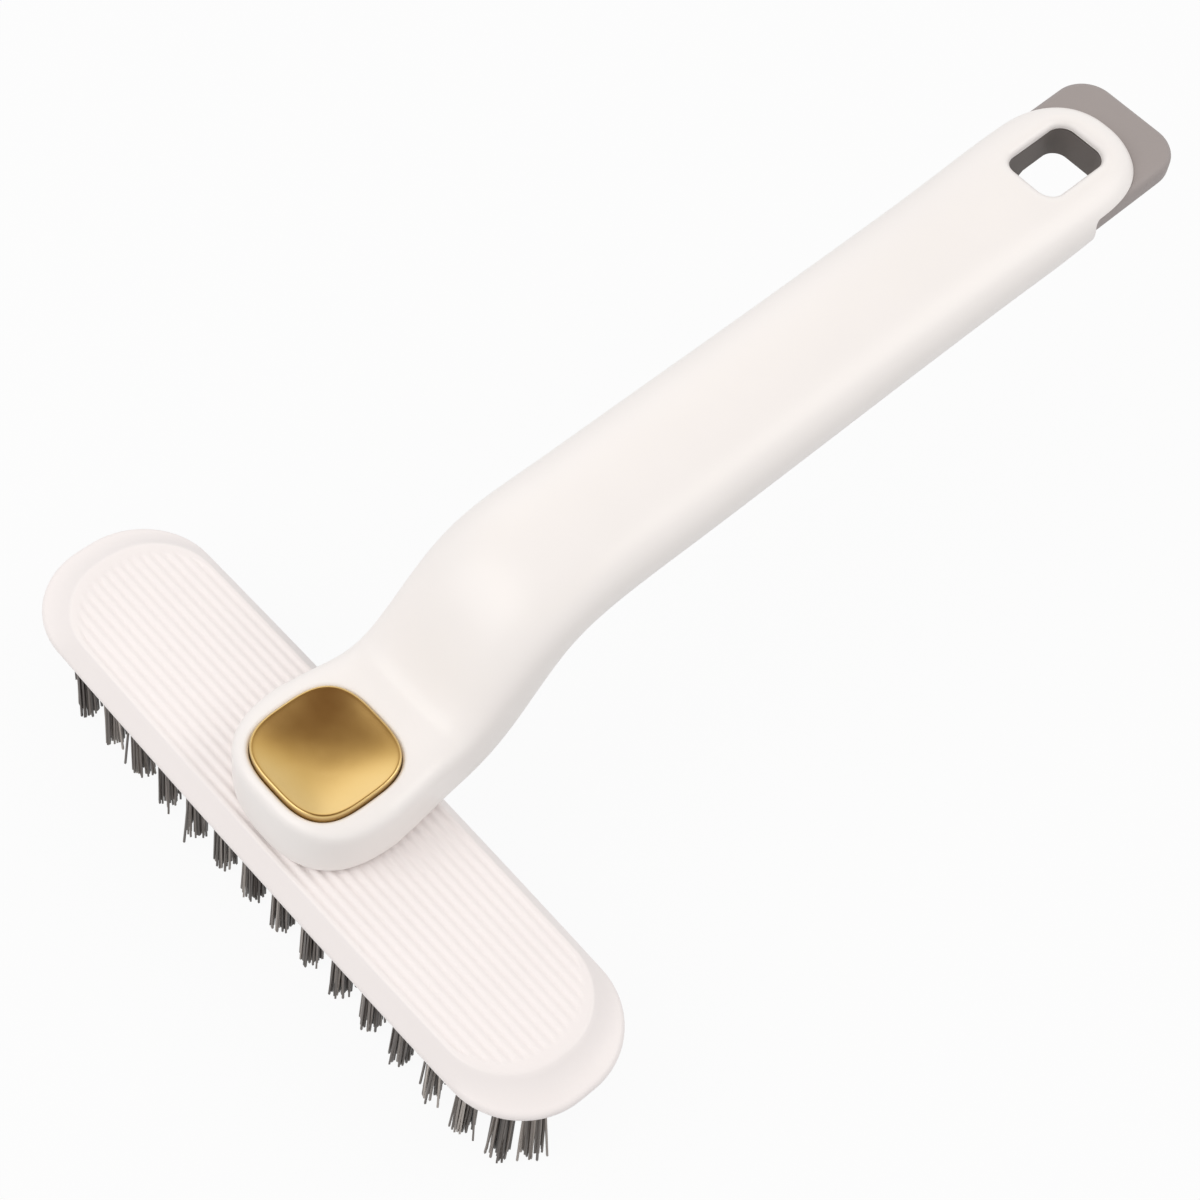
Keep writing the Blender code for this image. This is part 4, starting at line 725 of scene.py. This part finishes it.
SCREW_SHARES, HEAD_BORE, HEAD_DEEP, BORE_LONG = (0.300, 0.760), 0.0022, 0.0013, 0.006
# How far past the hole's outline, and from what level up, the darker painted shade in the hanging hole
# reaches.
SHADE_MARGIN, SHADE_FROM = COLLAR * 1.2, -0.0045

grey_grained = plastic(
    "grey_grained", (0.345, 0.305, 0.295), rough=0.56, grain_size=0.0005, grain_depth=0.00003, mottle=0.03
)
# A darker grey that is painted shade on the walls of the hanging hole, not a colour of its own.
grey_painted_hole_shade = plastic(
    "grey_painted_hole_shade", (0.150, 0.130, 0.120), rough=0.62, grain_size=0.0005, grain_depth=0.00003, mottle=0.05
)
stops = []
for step in range(COVER_RINGS + 1):
    stops.append((COVER_START + COVER_GAP + (NOTCH_AT - COVER_START - COVER_GAP) * step / COVER_RINGS, 1.0))
stops.append((NOTCH_AT + COVER_ROOT, ROOT_THIN))
rings = []
for at, thinned in stops:
    wide, _, below, _, square = girth(at)
    below *= thinned
    seam = seam_level(below) - SEAM_GAP
    low_turn = math.asin(min(1.0, (-seam / below) ** (square / 2)))
    sweep = [-low_turn - (math.pi - 2 * low_turn) * k / SWEEP_POINTS for k in range(SWEEP_POINTS + 1)]
    outer = [rounded(a, wide, below, below, square, square) for a in sweep]
    inner = []
    for x, h in outer:
        rise = WALL * (1 - FLOOR_THINS * (abs(x) / wide) ** 4)
        inner.append((x * (1 - WALL / outer[0][0]), min(h + rise, seam)))
    inner[0], inner[-1] = (inner[0][0], seam), (inner[-1][0], seam)
    rings.append([on_spine(across(at), x, h) for x, h in outer + inner[::-1]])
grey = moulded(lofted(rings), "grey_lower_cover", grey_grained, grey_painted_hole_shade)

tab_near = -NOTCH_BACK - TAB_ROUND
middle, half = (TAB_FAR + tab_near) / 2, (TAB_FAR - tab_near) / 2
levels = [(TAB_LOW + TAB_EDGE * (1 - c), TAB_EDGE * (1 - s)) for s, c in quarter(ROUND_STEPS)]
levels += [(TAB_HIGH - TAB_EDGE * (1 - s), TAB_EDGE * (1 - c)) for s, c in quarter(ROUND_STEPS)]
rings = []
for h, inset in levels:
    plan = rounded_rectangle(TAB_SIDE - inset, half - inset, TAB_ROUND - inset, points=16)
    rings.append([on_tail(x, middle + y, h) for x, y in plan])
tab = moulded(lofted(rings), "tab")
side = notch_side(ROOM_BACK, ROOM_TOP, ROOM_FAR, ROOM_DEEP)
carve(tab, tail_block("room", side, ROOM_SIDE), "INTERSECT")
carve(grey, tab, "UNION")
carve(grey, tail_block("root", ROOT_SIDE_VIEW, ROOT_SIDE), "UNION")
rings = [hole_level(COLLAR, LINING_LOW), hole_level(COLLAR, LINING_TOP), hole_ring(COLLAR, LIP + LINING_DROP)]
carve(grey, moulded(lofted(rings), "collar"), "UNION")
carve(grey, moulded(lofted([hole_level(0.0, -THROUGH), hole_level(0.0, THROUGH)]), "hanging_hole"))
bores = bmesh.new()
rim = [(HEAD_BORE * math.cos(a), HEAD_BORE * math.sin(a)) for a in around]
for share in SCREW_SHARES:
    spot, forward, upward = across(share * REACH)
    seat = HEAD_DEEP - girth(share * REACH)[2]
    rings = []
    for h in (seat - BORE_LONG, seat):
        rings.append([in_row(*(Vector((x, 0, 0)) + spot + y * forward + h * upward)) for x, y in rim])
    lofted(rings, bores)
carve(grey, moulded(bores, "screw_bores"))
# Faces in and just round the hanging hole, above a level, take the darker grey as painted shade.
middle_of_hole = on_tail(0, HOLE_ALONG, 0)
for face in grey.data.polygons:
    spot = face.center - middle_of_hole
    along, h = spot.dot(tail[1]), spot.dot(tail[2])
    in_shaded_hole = abs(spot.x) < HOLE_X + SHADE_MARGIN and abs(along) < HOLE_Y + SHADE_MARGIN
    face.material_index = int(in_shaded_hole and h > SHADE_FROM)
shade_carved(grey)
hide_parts("lower_cover")
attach(grey, "handle")


# Button. A thin metal plated cap with a satin gold finish, which sits in the boss's pocket with a narrow
# gap all round. Its top sinks into a soft dish for the thumb inside a narrow bright rim.
GOLD_LOW, GOLD_HIGH = (0.650, 0.462, 0.185), (0.685, 0.492, 0.205)
GOLD_CLOUD, GOLD_GLOSS, GOLD_GRAIN = (420.0, 5.0), (0.29, 0.33), (4500.0, 2.0, 0.3, 0.0000012)
COAT, COAT_ROUGH, COAT_IOR = 0.45, 0.20, 1.6
# Insets and levels of the cap in mm: under its top, down the inside of its skirt, and up to the rim.
CAP_UNDER = ((12.0, 16.3), (1.4, 16.3), (1.4, 14.6), (0.0, 14.6))
CAP_EDGE, CAP_ROUND, CAP_TOP, DISH_DEEP, DISH_START, DISH_POWER = 18.57, 0.45, 19.02, 1.75, 0.025, 2.3
DISH_FROM, DISH_REACH, DISH_RINGS, DISH_CROWD = 0.00045, 0.01185, 40, 1.3
SQUARE_LOSS, LOSS_REACH, LOSS_POWER = 1.1, 1.6, 1.5

gold, skin = clouded("satin_gold", ((0.0, GOLD_LOW), (1.0, GOLD_HIGH)), *GOLD_CLOUD, GOLD_GLOSS, GOLD_GRAIN)
skin.inputs["Metallic"].default_value = 1.0
skin.inputs["Coat Weight"].default_value = COAT
skin.inputs["Coat Roughness"].default_value = COAT_ROUGH
skin.inputs["Coat IOR"].default_value = COAT_IOR
profile = [*CAP_UNDER, *[(CAP_ROUND * (1 - c), CAP_EDGE + CAP_ROUND * s) for s, c in quarter(ROUND_STEPS)]]
rings = [[in_row(x, y, z / 1000) for x, y in button_plan(inset / 1000)] for inset, z in profile]
for step in range(1, DISH_RINGS + 1):
    t = (step / DISH_RINGS) ** DISH_CROWD
    square = BUTTON_SQUARE - SQUARE_LOSS * min(t * LOSS_REACH, 1.0) ** LOSS_POWER
    z = CAP_TOP - DISH_DEEP * (1 - (1 - t * t / (t + DISH_START)) ** DISH_POWER)
    rings.append([in_row(x, y, z / 1000) for x, y in button_plan(DISH_FROM + DISH_REACH * t, square)])
cap = moulded(lofted(rings), "gold_button_cap", gold)
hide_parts("button_cap")
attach(cap, "button")


# Tufts. Bundles of dark nylon filaments, nearly forty to a bundle, pinched together where they leave the
# plate and splayed a little below, cut off unevenly, with a few paler ones and strays.
FILAMENT_ROUGH, MIDDLE_AT = 0.45, 0.62
FILAMENT_DARK, FILAMENT_MIDDLE = (0.072, 0.058, 0.050), (0.215, 0.185, 0.166)
FILAMENT_PALE = (0.48, 0.43, 0.39)
PLATE_LOW, TRIM_LEVEL, SUNK = -0.0065, -0.0295, 0.0007
STRANDS, FILAMENT, BUNDLE, TURN_STEP = 38, 0.00027, 0.00200, 2.39996
TRIM_SPREAD, RAGGED, MOST_RAGGED = 0.0006, 0.0007, 0.0022
SPLAY, LEAN_OUT, CURL, STRAY_CHANCE, STRAY_SPLAY = 0.018, 0.030, 0.008, 0.035, 0.07
TURN_SHAKE, LEAST_SPLAY, MOST_SPLAY, PALE_POWER, BENDS = 0.25, 0.4, 1.3, 1.5, (0.33, 0.67, 1.0)
ROW_HALF, ROW_OUT, ROW_COUNT, INNER_HALF, INNER_OUT, INNER_COUNT = 0.0600, 0.0130, 14, 0.0610, 0.0054, 12
END_MIDDLE, SEED = 0.0585, 7
# Tufts round an end: degrees towards the back, distance from the end's middle, and how far they lean out.
LEFT_NEAR, RIGHT_NEAR = ((-52, 0.0124, 0.2), (-25, 0.0112, 1.0)), ((-50, 0.0134, 2.8), (-26, 0.0122, 4.4))
END_FAR = ((27, 0.0104, -0.5), (50, 0.0126, 0.4))

filament = bpy.data.materials.new("dark_filament")
filament.use_nodes = True
nodes, links = filament.node_tree.nodes, filament.node_tree.links
skin = nodes["Principled BSDF"]
skin.inputs["Roughness"].default_value = FILAMENT_ROUGH
shade = nodes.new("ShaderNodeAttribute")
shade.attribute_name = "strand_shade"
tint = colour_ramp(nodes, ((0.0, FILAMENT_DARK), (MIDDLE_AT, FILAMENT_MIDDLE), (1.0, FILAMENT_PALE)))
links.new(shade.outputs["Fac"], tint.inputs[0])
links.new(tint.outputs[0], skin.inputs["Base Color"])
rng = random.Random(SEED)


def strand(shape, layer, foot, drift, curl, end, shade_value):
    """One filament: a four sided thread, extruded down in steps that drift and curl away from the bundle."""
    spin = rng.uniform(0, math.tau)
    corners = []
    for k in range(4):
        angle = spin + math.tau * k / 4
        corners.append(foot + Vector((FILAMENT * math.cos(angle), FILAMENT * math.sin(angle), 0)))
    first = ring = start_ring(shape, corners)
    drop = foot.z - end
    made = list(ring)
    for t in BENDS:
        shift = drift * drop * t + curl * drop * t * t
        ring = next_ring(shape, ring, [(c.x + shift.x, c.y + shift.y, foot.z - drop * t) for c in corners])
        made += ring
    cap_ring(shape, ring)
    cap_ring(shape, first)
    for corner in made:
        corner[layer] = shade_value


def bundle(x, y, outward):
    """A tuft of strands round one hole, as a mesh of its own."""
    shape = bmesh.new()
    layer = shape.verts.layers.float.new("strand_shade")
    trim = rng.uniform(0.0, TRIM_SPREAD)
    for index in range(STRANDS):
        radius = BUNDLE * math.sqrt((index + 0.5) / STRANDS)
        angle = index * TURN_STEP + rng.uniform(-TURN_SHAKE, TURN_SHAKE)
        radial = Vector((math.cos(angle), math.sin(angle)))
        spread = SPLAY * (radius / BUNDLE) * rng.uniform(LEAST_SPLAY, MOST_SPLAY)
        drift = radial * spread + outward * LEAN_OUT
        curl = Vector((rng.gauss(0, CURL), rng.gauss(0, CURL)))
        if rng.random() < STRAY_CHANCE:
            drift += radial * STRAY_SPLAY
        foot = in_row(x + radial.x * radius, y + radial.y * radius, PLATE_LOW + SUNK)
        end = TRIM_LEVEL + trim + min(abs(rng.gauss(0.0, RAGGED)), MOST_RAGGED)
        strand(shape, layer, foot, drift, curl, end + RIM_Z, rng.random() ** PALE_POWER)
    data = bpy.data.meshes.new("tuft")
    shape.to_mesh(data)
    shape.free()
    return data


def row_of_tufts(half, y, count, way):
    """Places and leanings of a straight row of tufts."""
    return [(-half + 2 * half * k / (count - 1), y, way) for k in range(count)]


def end_tufts(side, spots):
    """Places and leanings of the tufts round one end."""
    made = []
    for degrees, reach, lean_share in spots:
        way = Vector((side * math.cos(math.radians(degrees)), math.sin(math.radians(degrees))))
        made.append((side * END_MIDDLE + reach * way.x, reach * way.y, lean_share * way))
    return made


groups = {
    "bristles_front_row": row_of_tufts(ROW_HALF, -ROW_OUT, ROW_COUNT, (0, -1)),
    "bristles_rear_row": row_of_tufts(ROW_HALF, ROW_OUT, ROW_COUNT, (0, 1)),
    "bristles_inner_front_row": row_of_tufts(INNER_HALF, -INNER_OUT, INNER_COUNT, (0, 0)),
    "bristles_inner_rear_row": row_of_tufts(INNER_HALF, INNER_OUT, INNER_COUNT, (0, 0)),
    "bristles_left_end": end_tufts(-1, LEFT_NEAR + END_FAR),
    "bristles_right_end": end_tufts(1, RIGHT_NEAR + END_FAR),
}
for name, tufts in groups.items():
    shape = bmesh.new()
    for x, y, way in tufts:
        shape.from_mesh(bundle(x, y, Vector(way)))
    threads = moulded(shape, name.replace("bristles", "tufts"), filament, sharp=60)
    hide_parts(name)
    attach(threads, "head")


# Tuft plate. A flat white plate with a rounded lower edge, screwed in under the head cover, which closes
# the head from below. It has a small round hole with a wider mouth for every tuft. Its edge is given in
# mm from the top down, and a hole in metres from below, as pairs of inset or radius and level.
PLATE_TOP_EDGE = ((2.3, -2.2), (2.3, -3.5), (1.6, -3.5), (1.6, -5.0))
PLATE_ROUND_IN, PLATE_ROUND_DOWN, PLATE_ROUND_STEPS, HOLE_POINTS = 1.2, 1.5, 7, 16
HOLE_STEPS = ((0.0023, -0.0071), (0.0023, -0.0064), (0.0021, -0.0060), (0.0021, -0.0052))

white_plate = plastic(
    "white_plate", (0.86, 0.82, 0.80), rough=0.45, grain_size=0.0008, grain_depth=0.00002, mottle=0.015
)
edge_in, edge_level = PLATE_TOP_EDGE[-1]
profile = list(PLATE_TOP_EDGE)
for s, c in quarter(PLATE_ROUND_STEPS, 1):
    profile.append((edge_in + PLATE_ROUND_IN * (1 - c), edge_level - PLATE_ROUND_DOWN * s))
rings = [[in_row(x, y, z / 1000) for x, y in head_outline(e / 1000, e / 1000)] for e, z in profile]
plate = moulded(lofted(rings), "tuft_base_plate", white_plate)
holes = bmesh.new()
for tufts in groups.values():
    for x, y, _ in tufts:
        lofted([level_circle(radius, z, HOLE_POINTS, x, y) for radius, z in HOLE_STEPS], holes)
carve(plate, moulded(holes, "tuft_holes"))
shade_carved(plate)
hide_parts("tuft_plate")
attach(plate, "head")


# Lock spring. An unbroken coil of drawn steel wire on the hub's floor, with closed end turns. It lifts the
# lock gear, and in the real brush it is pressed flat as the button goes down; here it is built at rest
# length.
STEEL_DARK, STEEL_LIGHT = (0.50, 0.51, 0.53), (0.68, 0.69, 0.70)
STEEL_CLOUD, STEEL_GLOSS = (900.0, 2.0), (0.25, 0.42)
SPRING_WIRE, SPRING_ROUND, SPRING_TURNS, STEPS_A_TURN, WIRE_POINTS = 0.0003, 0.0054, 5.5, 48, 10
END_TURN, END_RISE, PRESS = 0.9, 2.1, 0.0022

steel_stops = ((0.0, STEEL_DARK), (1.0, STEEL_LIGHT))
steel, skin = clouded("zinc_plated_steel", steel_stops, *STEEL_CLOUD, STEEL_GLOSS)
skin.inputs["Metallic"].default_value = 1.0
spring_low, spring_high = (corner[2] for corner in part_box("lock_spring"))
rise = spring_high - spring_low - (2 + 2 * END_RISE) * SPRING_WIRE
rings = []
for step in range(int(SPRING_TURNS * STEPS_A_TURN) + 1):
    turned = step / STEPS_A_TURN
    share = held((turned - END_TURN) / (SPRING_TURNS - 2 * END_TURN))
    ends = min(turned, END_TURN) / END_TURN
    ends += min(max(turned - SPRING_TURNS + END_TURN, 0.0), END_TURN) / END_TURN
    height = spring_low + SPRING_WIRE * (1 + END_RISE * ends) + rise * share
    angle = math.tau * turned
    ring = []
    for k in range(WIRE_POINTS):
        round_wire = math.tau * k / WIRE_POINTS
        radius = SPRING_ROUND + SPRING_WIRE * math.cos(round_wire)
        spot = in_row(radius * math.cos(angle), radius * math.sin(angle), 0)
        ring.append(Vector((spot.x, spot.y, height + SPRING_WIRE * math.sin(round_wire))))
    rings.append(ring)
spring = moulded(lofted(rings), "coil_spring", steel)
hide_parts("lock_spring")
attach(spring, "head")
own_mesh(spring)


# Inner pieces. The pivot core, the plunger with its legs and the lock gear are moulded in plain acetal, and
# the screws and the washer are zinc plated steel. They keep the shapes that they have in the frame.
acetal = plastic(
    "natural_acetal", (0.74, 0.73, 0.70), rough=0.38, grain_size=0.0006, grain_depth=0.00002, mottle=0.03
)
for name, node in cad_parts.items():
    if node.hide_render:
        continue
    finish = acetal if name in ("pivot_core", "button_plunger", "lock_gear") else steel
    node.data.materials.clear()
    node.data.materials.append(finish)
